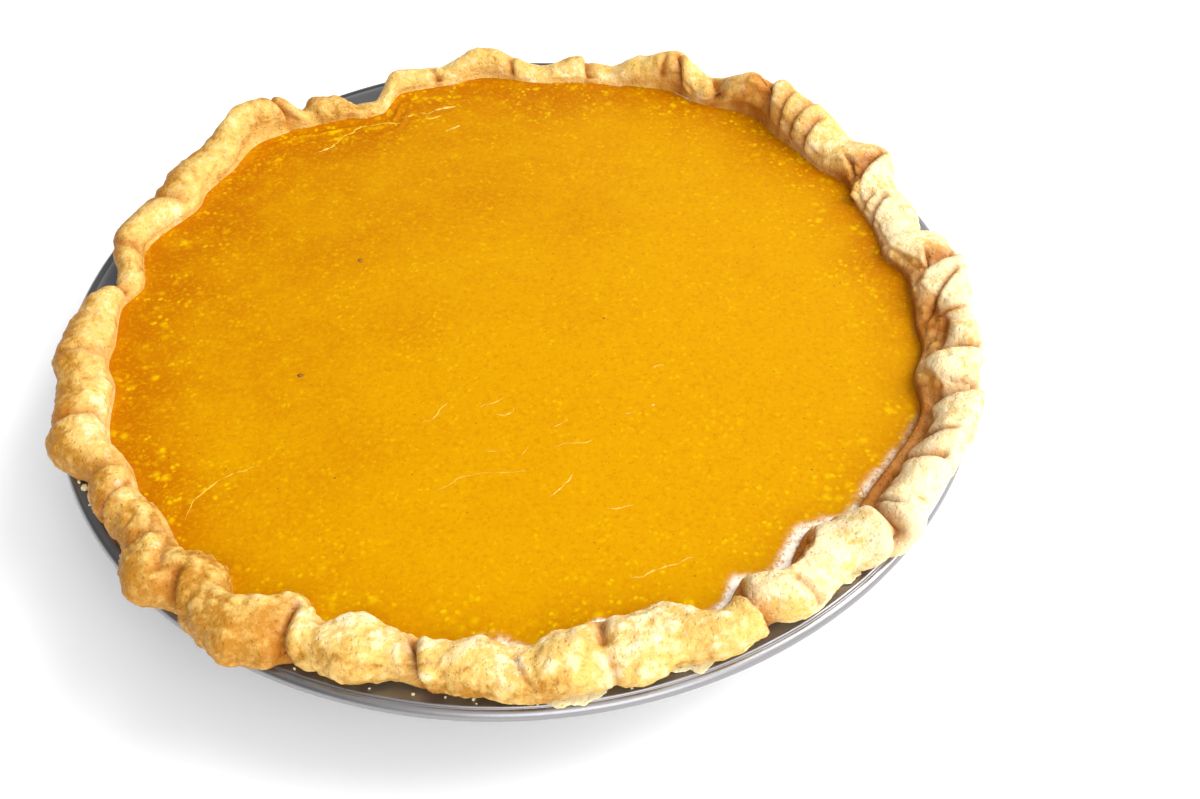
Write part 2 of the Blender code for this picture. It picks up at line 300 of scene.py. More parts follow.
# Creases: angle at the filling, angle at the outside, depth, width, where it begins and ends
# across the rim, and which side laps over: 1 for the larger angle, -1 for the smaller, 0 neither
CREASES = (
    (26.7, 43.0, 2.4, 2.6, 0.00, 0.26, 1), (24.7, 30.3, 3.4, 4.4, 0.03, 0.58, -1),
    (17.0, 25.0, 2.6, 3.2, 0.00, 0.40, -1), (20.5, 24.0, 1.2, 2.6, 0.00, 0.32, -1),
    (0.5, 20.5, 2.6, 2.6, 0.08, 0.36, 1), (1.5, 9.0, 3.6, 4.8, 0.08, 0.70, -1),
    (352.2, 373.0, 2.6, 3.2, 0.10, 0.47, -1), (346.0, 349.0, 2.2, 2.8, 0.00, 0.52, -1),
    (354.0, 357.0, 1.3, 1.8, 0.20, 0.50, 1), (332.0, 336.0, 1.3, 1.8, 0.10, 0.42, 1),
    (319.8, 321.2, 1.2, 1.6, 0.12, 0.36, 1), (340.6, 344.0, 1.4, 1.8, 0.26, 0.60, 1),
    (337.4, 343.8, 3.8, 4.8, 0.00, 0.64, -1), (326.5, 331.5, 2.6, 3.2, 0.04, 0.46, -1),
    (321.2, 322.6, 0.8, 1.2, 0.40, 0.58, 0), (318.6, 313.0, 4.2, 4.2, 0.06, 1.00, -1),
    (303.0, 305.5, 1.3, 2.2, 0.34, 0.82, 0), (296.6, 299.2, 3.0, 3.4, 0.04, 1.00, -1),
    (281.4, 279.8, 2.3, 2.8, 0.04, 0.44, 0), (280.3, 281.6, 1.0, 2.2, 0.48, 0.90, 0),
    (269.3, 274.3, 1.2, 2.0, 0.32, 0.62, 0), (259.6, 262.0, 3.6, 3.8, 0.12, 1.00, 1),
    (244.6, 247.8, 3.6, 3.8, 0.22, 1.00, 1), (249.3, 246.5, 1.7, 2.4, 0.00, 0.28, 0),
    (228.5, 235.0, 3.4, 3.6, 0.38, 1.00, 1), (224.0, 236.0, 1.3, 3.2, 0.08, 0.46, 0),
    (214.0, 218.0, 1.6, 3.2, 0.08, 1.00, 1), (211.2, 210.4, 1.0, 3.8, 0.00, 1.00, 1),
    (224.4, 222.6, 1.1, 3.8, 0.00, 1.00, 1), (200.6, 200.0, 1.2, 4.0, 0.06, 1.00, 0),
    (188.5, 189.6, 1.0, 3.4, 0.00, 0.62, 0), (194.4, 193.2, 1.1, 1.2, 0.00, 0.17, 0),
    (176.6, 174.4, 1.4, 2.6, 0.00, 1.00, 1), (167.0, 167.4, 1.1, 4.0, 0.00, 1.00, 0),
    (155.4, 156.8, 1.1, 3.6, 0.14, 1.00, 0), (131.4, 134.0, 2.8, 3.2, 0.00, 0.95, 1),
    (104.8, 107.0, 1.3, 2.0, 0.00, 0.52, 0), (92.4, 92.0, 2.0, 2.8, 0.00, 0.55, -1),
    (79.8, 81.6, 2.6, 3.2, 0.00, 0.74, 1), (67.3, 68.2, 1.6, 2.6, 0.00, 0.40, 1),
    (63.5, 66.0, 3.2, 3.8, 0.00, 0.48, -1), (57.2, 61.0, 4.2, 4.8, 0.00, 0.50, 1),
    (47.2, 50.5, 4.4, 6.4, 0.00, 0.66, -1), (44.0, 46.4, 1.8, 2.8, 0.00, 0.52, -1),
    (41.2, 41.4, 2.5, 3.4, 0.00, 0.60, -1), (37.8, 39.0, 1.9, 2.8, 0.00, 0.44, -1),
)

# Pockets and knobs: angle, place across the rim, half length in degrees, half width across,
# and how far it stands out, or is pressed in where negative
KNOBS = (
    (28.0, 0.28, 1.8, 0.18, -1.6), (6.0, 0.42, 2.0, 0.15, -1.4), (359.0, 0.12, 2.2, 0.10, 0.9),
    (352.5, 0.17, 4.6, 0.15, -2.4), (351.0, 0.30, 1.6, 0.07, 0.6), (344.0, 0.22, 2.6, 0.16, 1.9),
    (345.3, 0.27, 0.4, 0.03, -1.2), (333.0, 0.10, 3.6, 0.13, -2.2), (333.5, 0.17, 1.2, 0.05, 0.6),
    (323.5, 0.08, 3.2, 0.13, -2.6), (324.0, 0.14, 1.0, 0.05, 0.7), (319.0, 0.70, 2.5, 0.20, 0.8),
    (308.0, 0.08, 3.0, 0.14, -2.4), (304.8, 0.22, 1.8, 0.07, 1.0), (293.8, 0.04, 2.4, 0.09, -2.4),
    (275.5, 0.42, 0.8, 0.16, 0.6), (278.0, 0.36, 0.8, 0.14, 0.5), (216.6, 0.82, 1.2, 0.10, -2.0),
    (191.6, 0.76, 1.2, 0.10, -1.9), (105.3, 0.08, 0.8, 0.12, -1.6), (57.6, 0.07, 1.0, 0.09, -1.6),
    (126.0, 0.55, 1.4, 0.20, 0.8), (157.6, 0.50, 0.8, 0.06, -0.7), (250.0, 0.40, 3.4, 0.25, 0.7),
    (243.6, 0.18, 2.6, 0.16, 0.9), (231.0, 0.22, 2.4, 0.18, 0.9), (226.5, 0.62, 3.0, 0.20, 0.9),
    (238.0, 0.60, 3.0, 0.20, 0.6), (265.0, 0.45, 3.0, 0.22, 0.6), (301.0, 0.40, 2.4, 0.20, 0.8),
)

# How strong the relief is round the pie: angle, blisters, flaky ledges, fine pebbles
BLISTERING = (
    (0, 0.30, 0.30, 0.6), (30, 0.30, 0.20, 0.6), (60, 0.35, 0.15, 0.6), (140, 0.35, 0.15, 0.6),
    (180, 0.35, 0.20, 0.8), (205, 0.45, 0.25, 0.8), (222, 1.10, 0.35, 1.2), (240, 1.15, 0.40, 1.2),
    (256, 0.95, 0.55, 1.0), (285, 0.75, 0.95, 1.0), (300, 0.60, 0.95, 0.9), (312, 0.25, 0.55, 0.7),
    (335, 0.35, 0.50, 0.7),
)

# The inner face that looks at the filling, up to its own small crest: angle, how far across the
# rim it goes, and how dark it is, partly brown pastry and partly painted shade
INNER_FACE = (
    (0, 0.17, 0.6), (6, 0.17, 0.9), (11, 0.12, 0.5), (20, 0.10, 0.4), (27, 0.26, 0.9),
    (32, 0.16, 0.4),
    (40, 0.12, 0.4), (46, 0.16, 0.4), (49.5, 0.44, 0.95), (52.0, 0.40, 0.8), (55.5, 0.20, 0.3),
    (60, 0.10, 0.2), (63, 0.12, 0.5), (68, 0.08, 0.1), (78, 0.05, 0.1), (84, 0.04, 0.0),
    (130, 0.03, 0.0), (200, 0.03, 0.0),
    (250, 0.04, 0.05), (268, 0.05, 0.3), (281, 0.10, 0.7), (286, 0.06, 0.4), (292, 0.12, 0.8),
    (296, 0.14, 0.9), (301, 0.10, 0.7), (305, 0.24, 1.0), (309, 0.27, 1.0), (313, 0.08, 0.6),
    (319, 0.10, 1.0), (325, 0.13, 1.0), (329, 0.06, 0.9), (334, 0.12, 1.0), (338, 0.08, 0.8),
    (341, 0.19, 1.0), (345, 0.10, 0.5), (349, 0.22, 0.9), (353, 0.26, 1.0), (357, 0.22, 0.9),
)
print(len(FOLDS), "folds,", len(CREASES), "creases and", len(KNOBS), "knobs and pockets")

# %% [markdown]
# ## The rim's section and its relief
#
# A section through the rim is a squarish ellipse between its inner and its outer face, with its
# middle at less than half the height of the crest. That grid of points is the base. Creases,
# pockets, knobs, blisters and flaky ledges then move each point along the surface's own normal.
# A fold that laps over its neighbour is also pushed sideways, so that its edge hangs over.

# %% Section of the rim
LINING_TOP = 112.25
LINING_FIT = 0.35
WALL_TOP = -1.6
WALL_SLOPE = 0.57
PASTRY_LINING = 4.6
FILL_EDGE_HEIGHT = 3.2
CREST_ABOVE_FILLING = 1.5
CENTRE_SHARE = 0.42
PUFF = 2.15
UNDERCUT = math.radians(42)
DOME_START_RISE = 0.6
DOME_END_RISE = 0.5
STEEPEST_START = 0.9
RIM_STEPS = 1200
RIM_ROWS = 62


def filling_edge(crest):
    """Height of the filling's edge: level, and lower only where the rim itself is low."""
    return np.minimum(FILL_EDGE_HEIGHT, crest - CREST_ABOVE_FILLING)


def rim_section(angles, across):
    """Radius and height of the rim, for every place across it and every angle.

    Sideways it is the half width times the cosine, and upwards the height above the middle
    times the sine, each raised to 2 over PUFF, which squares the ellipse a little."""
    inner, outer, crest = eased_round(FOLDS, angles)
    lean = eased_round(LEANS, angles)[0]
    half_width = 0.5 * (outer - inner)
    centre = CENTRE_SHARE * crest
    above, below = crest - centre, centre - DOME_END_RISE
    first_rise = filling_edge(crest) + DOME_START_RISE - centre
    start = np.arcsin(np.clip(first_rise / above, 0.0, STEEPEST_START))
    turn = start + (math.pi + UNDERCUT - start) * across[:, None]
    sideways = np.sign(np.cos(turn)) * np.abs(np.cos(turn)) ** (2.0 / PUFF)
    upwards = np.sign(np.sin(turn)) * np.abs(np.sin(turn)) ** (2.0 / PUFF)
    radius = 0.5 * (inner + outer) + lean * np.maximum(upwards, 0.0) - half_width * sideways
    return radius, centre + np.where(upwards > 0.0, above, below) * upwards


def on_circle(angles, radius, height):
    """Points at the given angles, radii and heights above the lip, in millimetres."""
    turn = np.radians(angles)
    radius, height, turn = np.broadcast_arrays(radius, height, turn)
    return np.stack((radius * np.cos(turn), radius * np.sin(turn), height + TIN_HEIGHT), axis=-1)


def grid_directions(points):
    """Unit vectors along the rings, across them, and outwards from the skin."""
    along = np.roll(points, -1, axis=1) - np.roll(points, 1, axis=1)
    across = np.gradient(points, axis=0)
    outwards = np.cross(along, across)
    unit = [v / np.linalg.norm(v, axis=-1, keepdims=True) for v in (along, across, outwards)]
    return unit


angles = np.arange(RIM_STEPS) * FULL_TURN / RIM_STEPS
across = np.linspace(0.0, 1.0, RIM_ROWS)
radius, height = rim_section(angles, across)
base_rim = on_circle(angles, radius, height)
print("The base rim reaches", round(float(base_rim[..., 2].max()), 1), "mm above the table")

# %% Creases with a lapping side
CREASE_FADE = 0.10
DARK_DEPTH = 1.7

# Next to a crease, in units of its width: how far each side reaches, and where the edge that
# laps over leans out and has its lip, with the strength and the reach of both
STEEP_REACH, GENTLE_REACH, EVEN_REACH = 0.26, 0.70, 0.42
LAP_LEAN, LEAN_PLACE, LEAN_REACH = 0.34, 0.30, 0.36
LAP_LIP, LIP_PLACE, LIP_REACH = 0.22, 0.50, 0.34


def crease_relief(angles, across, middle_radius):
    """How deep the creases press in, how far laps are pushed sideways, and how close they are.

    In units of a crease's width, the depth falls off as the exponential of minus the distance
    to the power 1.5, quickly on the side that laps over and slowly on the other side."""
    depth = np.zeros((len(across), len(angles)))
    push = np.zeros_like(depth)
    shade = np.zeros_like(depth)
    for at_filling, at_outside, deep, wide, begins, ends, side in CREASES:
        line = at_filling + (at_outside - at_filling) * across[:, None]
        u = np.radians(turn_between(angles[None, :], line)) * middle_radius / wide
        begun = smoothstep((across - begins) / CREASE_FADE + 0.5)
        going = smoothstep((ends - across) / CREASE_FADE + 0.5)
        strength = (deep * begun * going)[:, None]
        reach = np.where(u * side > 0.0, STEEP_REACH, GENTLE_REACH) if side else EVEN_REACH
        valley = np.exp(-(np.abs(u) / reach) ** 1.5)
        lip = LAP_LIP * np.exp(-(((u * side - LIP_PLACE) / LIP_REACH) ** 2)) if side else 0.0
        depth += strength * (valley - lip)
        if side:
            lean = np.exp(-(((u * side - LEAN_PLACE) / LEAN_REACH) ** 2))
            push -= side * LAP_LEAN * strength * lean
        # How dark the crease is painted: painted shade, deepest in its valley.
        shade = np.maximum(shade, np.minimum(strength / DARK_DEPTH, 1.0) * valley**0.8)
    return depth, push, shade


def knob_relief(angles, across):
    """How far knobs stand out, summed: each is a bell round its place, negative for a pocket."""
    total = np.zeros((len(across), len(angles)))
    for angle, place, half_turn, half_width, rise in KNOBS:
        u = turn_between(angles[None, :], angle) / half_turn
        v = (across[:, None] - place) / half_width
        total += rise * np.exp(-(u**2) - v**2)
    return total


middle_radius = float(radius.mean())
crease_depth, lap_push, crease_shade = crease_relief(angles, across, middle_radius)
knobs = knob_relief(angles, across)
print("The deepest crease is", round(float(crease_depth.max()), 1), "mm deep")

# %% Blisters, ledges, wrinkles and grain
LUMP_SIZE, LUMP_RISE = 9.0, 0.42
BLISTER_SIZE, BLISTER_RISE = 4.4, 0.62
SMALL_BLISTER_SIZE, SMALL_BLISTER_RISE = 2.5, 0.48
PEBBLE_SIZE, PEBBLE_RISE = 1.5, 0.26
LEDGE_SIZE, LEDGE_RISE = 5.5, 0.42
LEDGE_COUNT = 3.0
LEDGE_FLAT, LEDGE_STEP = 0.80, 0.20
LEDGE_SQUASH = (1.0, 1.0, 1.6)
WRINKLE_SIZE, WRINKLE_DEPTH, PEBBLED_WRINKLE_DEPTH = 8.0, 0.12, 0.26
GRAIN_SIZE, GRAIN_RISE = 1.5, 0.10
WARP_SIZE, WARP = 3.6, 1.1


def warped(points, size, seed):
    """The points moved about by smooth noise, so that what is scattered on them is irregular."""
    moves = np.stack([noise(points, size, seed + i) for i in range(3)], axis=-1)
    return points + WARP * moves


def domes(points, size, seed, reach=0.62):
    """Low domes round scattered centres: one less the squared distance over the reach."""
    distance, own = nearest_centre(points, size, seed)
    return np.maximum(1.0 - (distance / reach) ** 2, 0.0) * (0.2 + 0.8 * own)


def ledge_relief(points):
    """Thin layers with broken edges: smooth noise cut into steps with short steep sides."""
    level = LEDGE_COUNT * rough(points * LEDGE_SQUASH, LEDGE_SIZE, 21)
    tread = np.floor(level)
    return (tread + smoothstep((level - tread - LEDGE_FLAT) / LEDGE_STEP)) / LEDGE_COUNT


blisters_round, ledges_round, pebbles_round = eased_round(BLISTERING, angles)
lumps = rough(base_rim, LUMP_SIZE, 31, octaves=2)
uneven = warped(base_rim, WARP_SIZE, 81)
blisters = domes(uneven, BLISTER_SIZE, 11)
small_blisters = domes(uneven, SMALL_BLISTER_SIZE, 12)
pebbles = domes(uneven, PEBBLE_SIZE, 13, reach=0.7)
ledges = ledge_relief(base_rim)
wrinkles = (1.0 - np.abs(rough(uneven, WRINKLE_SIZE, 71))) ** 8
grain = rough(base_rim, GRAIN_SIZE, 41, octaves=2)
relief = (
    LUMP_RISE * lumps
    + blisters_round * (BLISTER_RISE * blisters + SMALL_BLISTER_RISE * small_blisters)
    + pebbles_round * PEBBLE_RISE * pebbles + ledges_round * LEDGE_RISE * ledges
    - (WRINKLE_DEPTH + PEBBLED_WRINKLE_DEPTH * pebbles_round) * wrinkles + GRAIN_RISE * grain
)
print("Fine relief from", round(float(relief.min()), 2), "to", round(float(relief.max()), 2), "mm")

# %% The crust
RIM_FADE = 0.05
SCALLOP = 0.03
OVERHANG = 1.1
HOLLOW_REACH = 0.13
INNER_EDGE_SOFTNESS = 0.05
WALL_BUMP_SIZE = 3.0
WALL_BUMP_RISE = 1.6
REST_RISE = 0.05
BOX_TOP = plain_box[1][2] / MM
BOX_SIDE = plain_box[1][0] / MM
SOFT_LIMIT = 1.2


def soft_ceiling(values, limit):
    """Bends values smoothly under a limit, so that nothing passes it."""
    over = np.maximum(values - (limit - SOFT_LIMIT), 0.0)
    return np.where(over > 0.0, limit - SOFT_LIMIT * np.exp(-over / SOFT_LIMIT), values)


fade = smoothstep(across / RIM_FADE) * smoothstep((1.0 - across) / RIM_FADE)
along_dir, _, out_dir = grid_directions(base_rim)
if out_dir[RIM_ROWS // 2, :, 2].mean() < 0.0:
    out_dir = -out_dir
# Its darkness, partly brown pastry and partly painted shade, also sets the hollow and wall bumps.
inner_limit, inner_brown_and_shade = eased_round(INNER_FACE, angles)
rim_line = on_circle(angles, 118.0, 0.0)
scallop = noise(rim_line, 5.0, 55) + 0.5 * noise(rim_line, 2.2, 56)
inner_limit = inner_limit + SCALLOP * scallop * inner_brown_and_shade
past_limit = across[:, None] - inner_limit
wall_share = smoothstep(0.5 - past_limit / INNER_EDGE_SOFTNESS)
inside_wall = inner_brown_and_shade * wall_share
wall_bumps = domes(uneven, WALL_BUMP_SIZE, 14, reach=0.75)
hollow = OVERHANG * inner_brown_and_shade * wall_share * np.exp(-((past_limit / HOLLOW_REACH) ** 2))
bumped = WALL_BUMP_RISE * inside_wall * wall_bumps
moved = fade[:, None] * (relief + knobs - crease_depth - hollow + bumped)
rim = base_rim + out_dir * moved[..., None] + along_dir * (fade[:, None] * lap_push)[..., None]
rim[..., 2] = soft_ceiling(rim[..., 2], BOX_TOP)
rim[..., 2] = np.maximum(rim[..., 2], TIN_HEIGHT + REST_RISE)
rim[..., :2] = np.sign(rim[..., :2]) * soft_ceiling(np.abs(rim[..., :2]), BOX_SIDE)

inner_radius, outer_radius, crest_height = eased_round(FOLDS, angles)


def wall_radius(height):
    """Inside radius of the tin at a height above the lip, which is negative inside the tin."""
    return LINING_TOP + LINING_FIT + WALL_SLOPE * (height - WALL_TOP)


# Heights of the rings of the pastry case below the lip, and the radius of its foot
NECK_HEIGHT, SEAM_HEIGHT, CORNER_HEIGHT, BASE_TOP = -1.5, -7.0, -27.0, -28.85
OUTER_TOP, OUTER_FOOT, BASE_FOOT = -3.0, -31.4, -33.1
FOOT_RADIUS = 92.3
CORNER_CUT = 1.5
CASE_GAP = 0.1
UNDER_INSET, UNDER_LEAST, UNDER_MOST = 3.6, 113.7, 120.5
BEND_RADIUS, BEND_HEIGHT = 113.0, -0.2
seam = wall_radius(SEAM_HEIGHT) - CASE_GAP - PASTRY_LINING
neck = np.minimum(wall_radius(NECK_HEIGHT) - CASE_GAP - PASTRY_LINING, 0.5 * (inner_radius + seam))
under = np.clip(outer_radius - UNDER_INSET, UNDER_LEAST, UNDER_MOST)
corner = wall_radius(CORNER_HEIGHT) - CASE_GAP - PASTRY_LINING - CORNER_CUT
before_rim = [
    on_circle(angles, corner, BASE_TOP),
    on_circle(angles, seam, SEAM_HEIGHT),
    on_circle(angles, neck, NECK_HEIGHT),
    on_circle(angles, inner_radius, filling_edge(crest_height)),
]
after_rim = [
    on_circle(angles, under, REST_RISE),
    on_circle(angles, BEND_RADIUS, BEND_HEIGHT),
    on_circle(angles, wall_radius(OUTER_TOP) - CASE_GAP, OUTER_TOP),
    on_circle(angles, wall_radius(OUTER_FOOT) - CASE_GAP, OUTER_FOOT),
    on_circle(angles, FOOT_RADIUS, BASE_FOOT),
]
crust_rings = np.concatenate((np.array(before_rim), rim, np.array(after_rim)))
crust = ring_skin(
    "crust_relief", crust_rings,
    first_pole=[[0.0, 0.0, TIN_HEIGHT + BASE_TOP]], last_pole=[[0.0, 0.0, TIN_HEIGHT + BASE_FOOT]],
)
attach(crust, "root")
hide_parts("crust")

# %% [markdown]
# ## How brown and how shaded each place is
#
# Pastry browns where it stands high or faces out into the oven's heat, and stays pale where it is
# thick and turned in. The same number carries painted shade as well: the left side and its outward
# faces are darker, the right side towards the window paler, and the wrinkles' grooves darker.
# Blister tops are lighter, a painted highlight. A number at each point keeps that, from the
# outward side, the height, the blisters and how much the surface bulges, with a different share
# round the pie.

# %% Browning
# Partly baked colour, partly painted shade: darker on the left and outwards, paler on the right.
BROWNING_AND_SHADE = (  # angle, how brown that side is, how much browner it gets outwards
    (0, 0.10, 0.1), (25, 0.28, 0.1), (60, 0.50, 0.1), (100, 0.50, 0.2), (135, 0.88, 0.8),
    (160, 0.88, 1.0), (190, 0.98, 1.2), (215, 0.92, 1.1), (229, 1.08, 0.8), (240, 0.86, 0.7),
    (251, 0.32, 0.5), (268, 0.36, 0.4), (284, 0.26, 0.25), (296, 0.32, 0.2), (308, 0.02, 0.15),
    (335, 0.08, 0.15),
)
PATCH_SIZE = 13.0
PATCH_SHARE, TOP_HIGHLIGHT_SHARE, LUMP_SHARE, WRINKLE_SHARE = 0.18, 0.45, 0.10, 0.16
side_brown_and_shade, outer_brown_and_shade = eased_round(BROWNING_AND_SHADE, angles)
outwards_share = smoothstep((across - 0.30) / 0.5)[:, None]
patches = rough(base_rim, PATCH_SIZE, 51)
# Blister tops, which are painted lighter: a painted highlight.
top_highlight = blisters_round * (blisters - 0.35) + 0.6 * blisters_round * (small_blisters - 0.3)
# Painted shade: browner on the left, on its outward faces and in the wrinkles' grooves.
brown = (
    side_brown_and_shade + outer_brown_and_shade * (outwards_share - 0.35) + PATCH_SHARE * patches
    - TOP_HIGHLIGHT_SHARE * top_highlight + LUMP_SHARE * lumps + WRINKLE_SHARE * wrinkles * pebbles_round
)
print("Mean browning", round(float(brown.mean()), 2))

# %% Numbers kept on the crust
WALL_EDGE_SHADE_WIDTH = 0.022
POCKET_DEPTH = 2.0


def padded(values, before, after=0):
    """Values on some rings, carried on unchanged over the rings before and after, as one row."""
    first = np.repeat(values[:1], before, axis=0)
    last = np.repeat(values[-1:], after, axis=0)
    return np.concatenate((first, values, last)).ravel()


# Painted shade: darker in pockets and creases, and a dark line along the edge of the inner face.
pockets = np.clip(-knobs / POCKET_DEPTH, 0.0, 1.0)
wall_edge_shade = inner_brown_and_shade * np.exp(-((past_limit / WALL_EDGE_SHADE_WIDTH) ** 2))
# The foot against the filling is darker: custard stain, and on the inner face painted shade.
foot = np.exp(-across[:, None] / (0.02 + 0.04 * inner_brown_and_shade)) * (0.2 + 0.8 * inner_brown_and_shade)
kept = {
    "brown": np.clip(brown, 0.0, 1.0),
    "crease": np.clip(crease_shade + pockets + 0.5 * wall_edge_shade, 0.0, 1.0),
    "inside": inside_wall,
    "foot": foot,
    "top_highlight": np.clip(0.5 + 0.8 * top_highlight, 0.0, 1.0),
    "bumps": wall_bumps,
}
for name, values in kept.items():
    keep_values(crust, name, padded(values, len(before_rim), len(after_rim)))
print("The crust keeps", len(kept), "numbers at each point")

# %% [markdown]
# ## The filling
#
# Baked squash custard sets level, with a thin skin. It climbs a little where it touches the
# pastry, has low ripples where it pulled back while it cooled, and a few flat bubbles near the
# edge.
# The top is a grid of rings whose first ring is tucked into the pastry, so no gap shows.

# %% Surface of the filling
FILL_STEPS = 640
FILL_TUCK = 0.35
FILL_REACH = 104.0
FINE_BAND = 6.0
INNERMOST_SHARE = 0.999
MENISCUS_WIDTH = 2.2
MENISCUS_SHARE = 0.42
MENISCUS_DROP = 0.7
BUBBLE_SPACING, BUBBLE_RISE = 3.4, 0.16
RIPPLE_ANGLE, RIPPLE_TURN, RIPPLE_GAP, RIPPLE_BAND = 121.0, 16.0, 7.0, 6.0
RIPPLE_PACE, RIPPLE_RISE = 1.35, 0.34
TOP_LEVELS = ((0.0, 1.9), (40.0, 1.9), (75.0, 2.0), (98.0, 2.3), (103.0, 2.42))

fill_angles = np.arange(FILL_STEPS) * FULL_TURN / FILL_STEPS
fill_inner, _, fill_crest = eased_round(FOLDS, fill_angles)
fill_edge = filling_edge(fill_crest)
edge_radius = fill_inner + FILL_TUCK
inward = np.linspace(FINE_BAND, FILL_REACH, 112)[1:]
inward = np.concatenate((np.linspace(0.0, FINE_BAND, 22), inward))


def top_height(points_radius, gap):
    """Height of the filling's top above the lip.

    A slow dish by radius, plus a rise next to the pastry that falls as the exponential of
    minus the distance from it over a share of the meniscus's width."""
    levels = np.array(TOP_LEVELS)
    dish = np.interp(points_radius, levels[:, 0], levels[:, 1])
    rise = fill_edge - (FILL_EDGE_HEIGHT - MENISCUS_DROP)
    return dish + rise * np.exp(-gap / (MENISCUS_SHARE * MENISCUS_WIDTH))


share_in = np.minimum(inward[:, None] / FILL_REACH, INNERMOST_SHARE)
fill_radius = edge_radius * (1.0 - share_in)
gap_in = edge_radius - fill_radius
fill_top = top_height(fill_radius, gap_in)
flat = on_circle(fill_angles, fill_radius, np.zeros_like(fill_radius))
swell = 0.16 * noise(flat, 34.0, 61) + 0.07 * noise(flat, 13.0, 62)
edge_share = smoothstep((fill_radius - 55.0) / 50.0)
spot, own = nearest_centre(flat, BUBBLE_SPACING, 63)
bubbles = BUBBLE_RISE * np.maximum(1.0 - (spot / 0.30) ** 2, 0.0) * (own > 0.72) * edge_share
ripple_reach = np.exp(-((turn_between(fill_angles, RIPPLE_ANGLE) / RIPPLE_TURN) ** 2))
ripple_reach = ripple_reach * np.exp(-(((gap_in - RIPPLE_GAP) / RIPPLE_BAND) ** 2))
ripple_wave = np.sin(gap_in * RIPPLE_PACE + 1.2 * noise(flat, 11.0, 64))
calm = smoothstep(gap_in / 1.2)
fill_top = fill_top + calm * (swell + bubbles + RIPPLE_RISE * ripple_reach * ripple_wave)
lowest, highest = round(float(fill_top.min()), 1), round(float(fill_top.max()), 1)
print("The filling's top lies", lowest, "to", highest, "mm above the lip")

# %% The filling's skin
FILL_BASE = -28.5
FILL_FIT = 0.3
FILL_CORNER = 8.0
fill_seam = wall_radius(SEAM_HEIGHT) - PASTRY_LINING - FILL_FIT
fill_neck = np.minimum(wall_radius(NECK_HEIGHT) - PASTRY_LINING - FILL_FIT, edge_radius)
below_edge = [
    on_circle(fill_angles, wall_radius(CORNER_HEIGHT) - FILL_CORNER, FILL_BASE),
    on_circle(fill_angles, fill_seam, SEAM_HEIGHT),
    on_circle(fill_angles, fill_neck, NECK_HEIGHT),
]
top_rings = on_circle(fill_angles, fill_radius, fill_top)
fill_rings = np.concatenate((np.array(below_edge), top_rings))
filling = ring_skin(
    "filling_skin", fill_rings,
    first_pole=[[0.0, 0.0, TIN_HEIGHT + FILL_BASE]],
    last_pole=[[0.0, 0.0, TIN_HEIGHT + float(fill_top[-1].mean())]],
)
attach(filling, "root")
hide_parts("filling")

# %% [markdown]
# Along the pastry a pale band shows, thin at the far side and broad at the near right: partly
# a torn film where the filling pulled away, partly a painted reflection on its rising edge. Round
# the rest of the edge the skin baked to a deeper orange. Both are kept as numbers at each point,
# from tables round the pie and the distance to the pastry.

# %% Where the skin is orange, filmy with painted reflection, or rippled
# The pale band here is partly torn film and partly a painted reflection.
FILM_AND_SHEEN = (  # angle, how much pale film shows, and how far from the pastry it lies
    (58, 0.0, 0.5), (61, 0.5, 0.5), (64, 0.6, 0.5), (67, 0.0, 0.5), (71, 0.1, 0.5), (74, 0.7, 0.5),
    (77, 0.0, 0.5), (82, 0.1, 0.5), (84.5, 0.7, 0.5), (88, 0.0, 0.5), (97, 0.1, 0.5),
    (101, 0.4, 0.5), (106, 0.0, 1.0), (200, 0.0, 1.0), (252, 0.0, 1.5), (262, 0.2, 1.0),
    (266, 0.6, 2.4), (271, 0.8, 3.0), (275, 0.2, 1.4), (279, 0.3, 1.0), (283, 1.1, 1.0),
    (289, 1.1, 1.2), (293, 0.7, 2.0), (298, 1.0, 2.8), (306, 1.1, 3.2), (312, 0.8, 3.0),
    (318, 0.52, 2.8), (333, 0.36, 2.6), (341, 0.05, 2.0), (350, 0.0, 1.2), (354.5, 0.14, 0.8),
    (358, 0.0, 0.8),
)
EDGE_BAKED = (  # angle, how deep an orange the edge baked to
    (0, 1.25), (30, 1.2), (60, 1.1), (110, 1.15), (165, 1.35), (205, 1.45), (228, 0.75),
    (260, 0.8), (300, 0.9), (335, 1.2),
)
BAKED_BAND = 26.0
FILM_AND_SHEEN_DISTANCE, FILM_AND_SHEEN_RAGGEDNESS, FILM_AND_SHEEN_TEAR_SIZE = 0.6, 0.7, 5.0
GAP_LINE_WIDTH = 1.1
film_and_sheen_round, film_and_sheen_gap = eased_round(FILM_AND_SHEEN, fill_angles)
film_and_sheen_place = film_and_sheen_gap * FILM_AND_SHEEN_DISTANCE + FILM_AND_SHEEN_RAGGEDNESS * rough(flat, FILM_AND_SHEEN_TEAR_SIZE, 65)
outer_fade = np.exp(-(np.maximum(gap_in - film_and_sheen_place, 0.0) / (0.3 + 0.6 * film_and_sheen_gap)) ** 1.4)
inner_fade = smoothstep(1.4 + (gap_in - film_and_sheen_place) / 1.4)
baked_round = eased_round(EDGE_BAKED, fill_angles)[0]
kept = {
    "film_and_sheen": film_and_sheen_round * outer_fade * inner_fade,
    "edge": baked_round * np.clip(1.0 - gap_in / BAKED_BAND, 0.0, 1.0) ** 1.5,
    "rim_gap": np.exp(-gap_in / GAP_LINE_WIDTH),
    "ripple": ripple_reach * (0.5 + 0.5 * ripple_wave),
}
for name, values in kept.items():
    keep_values(filling, name, padded(values, len(below_edge)))
print("The filling keeps", len(kept), "numbers at each point")

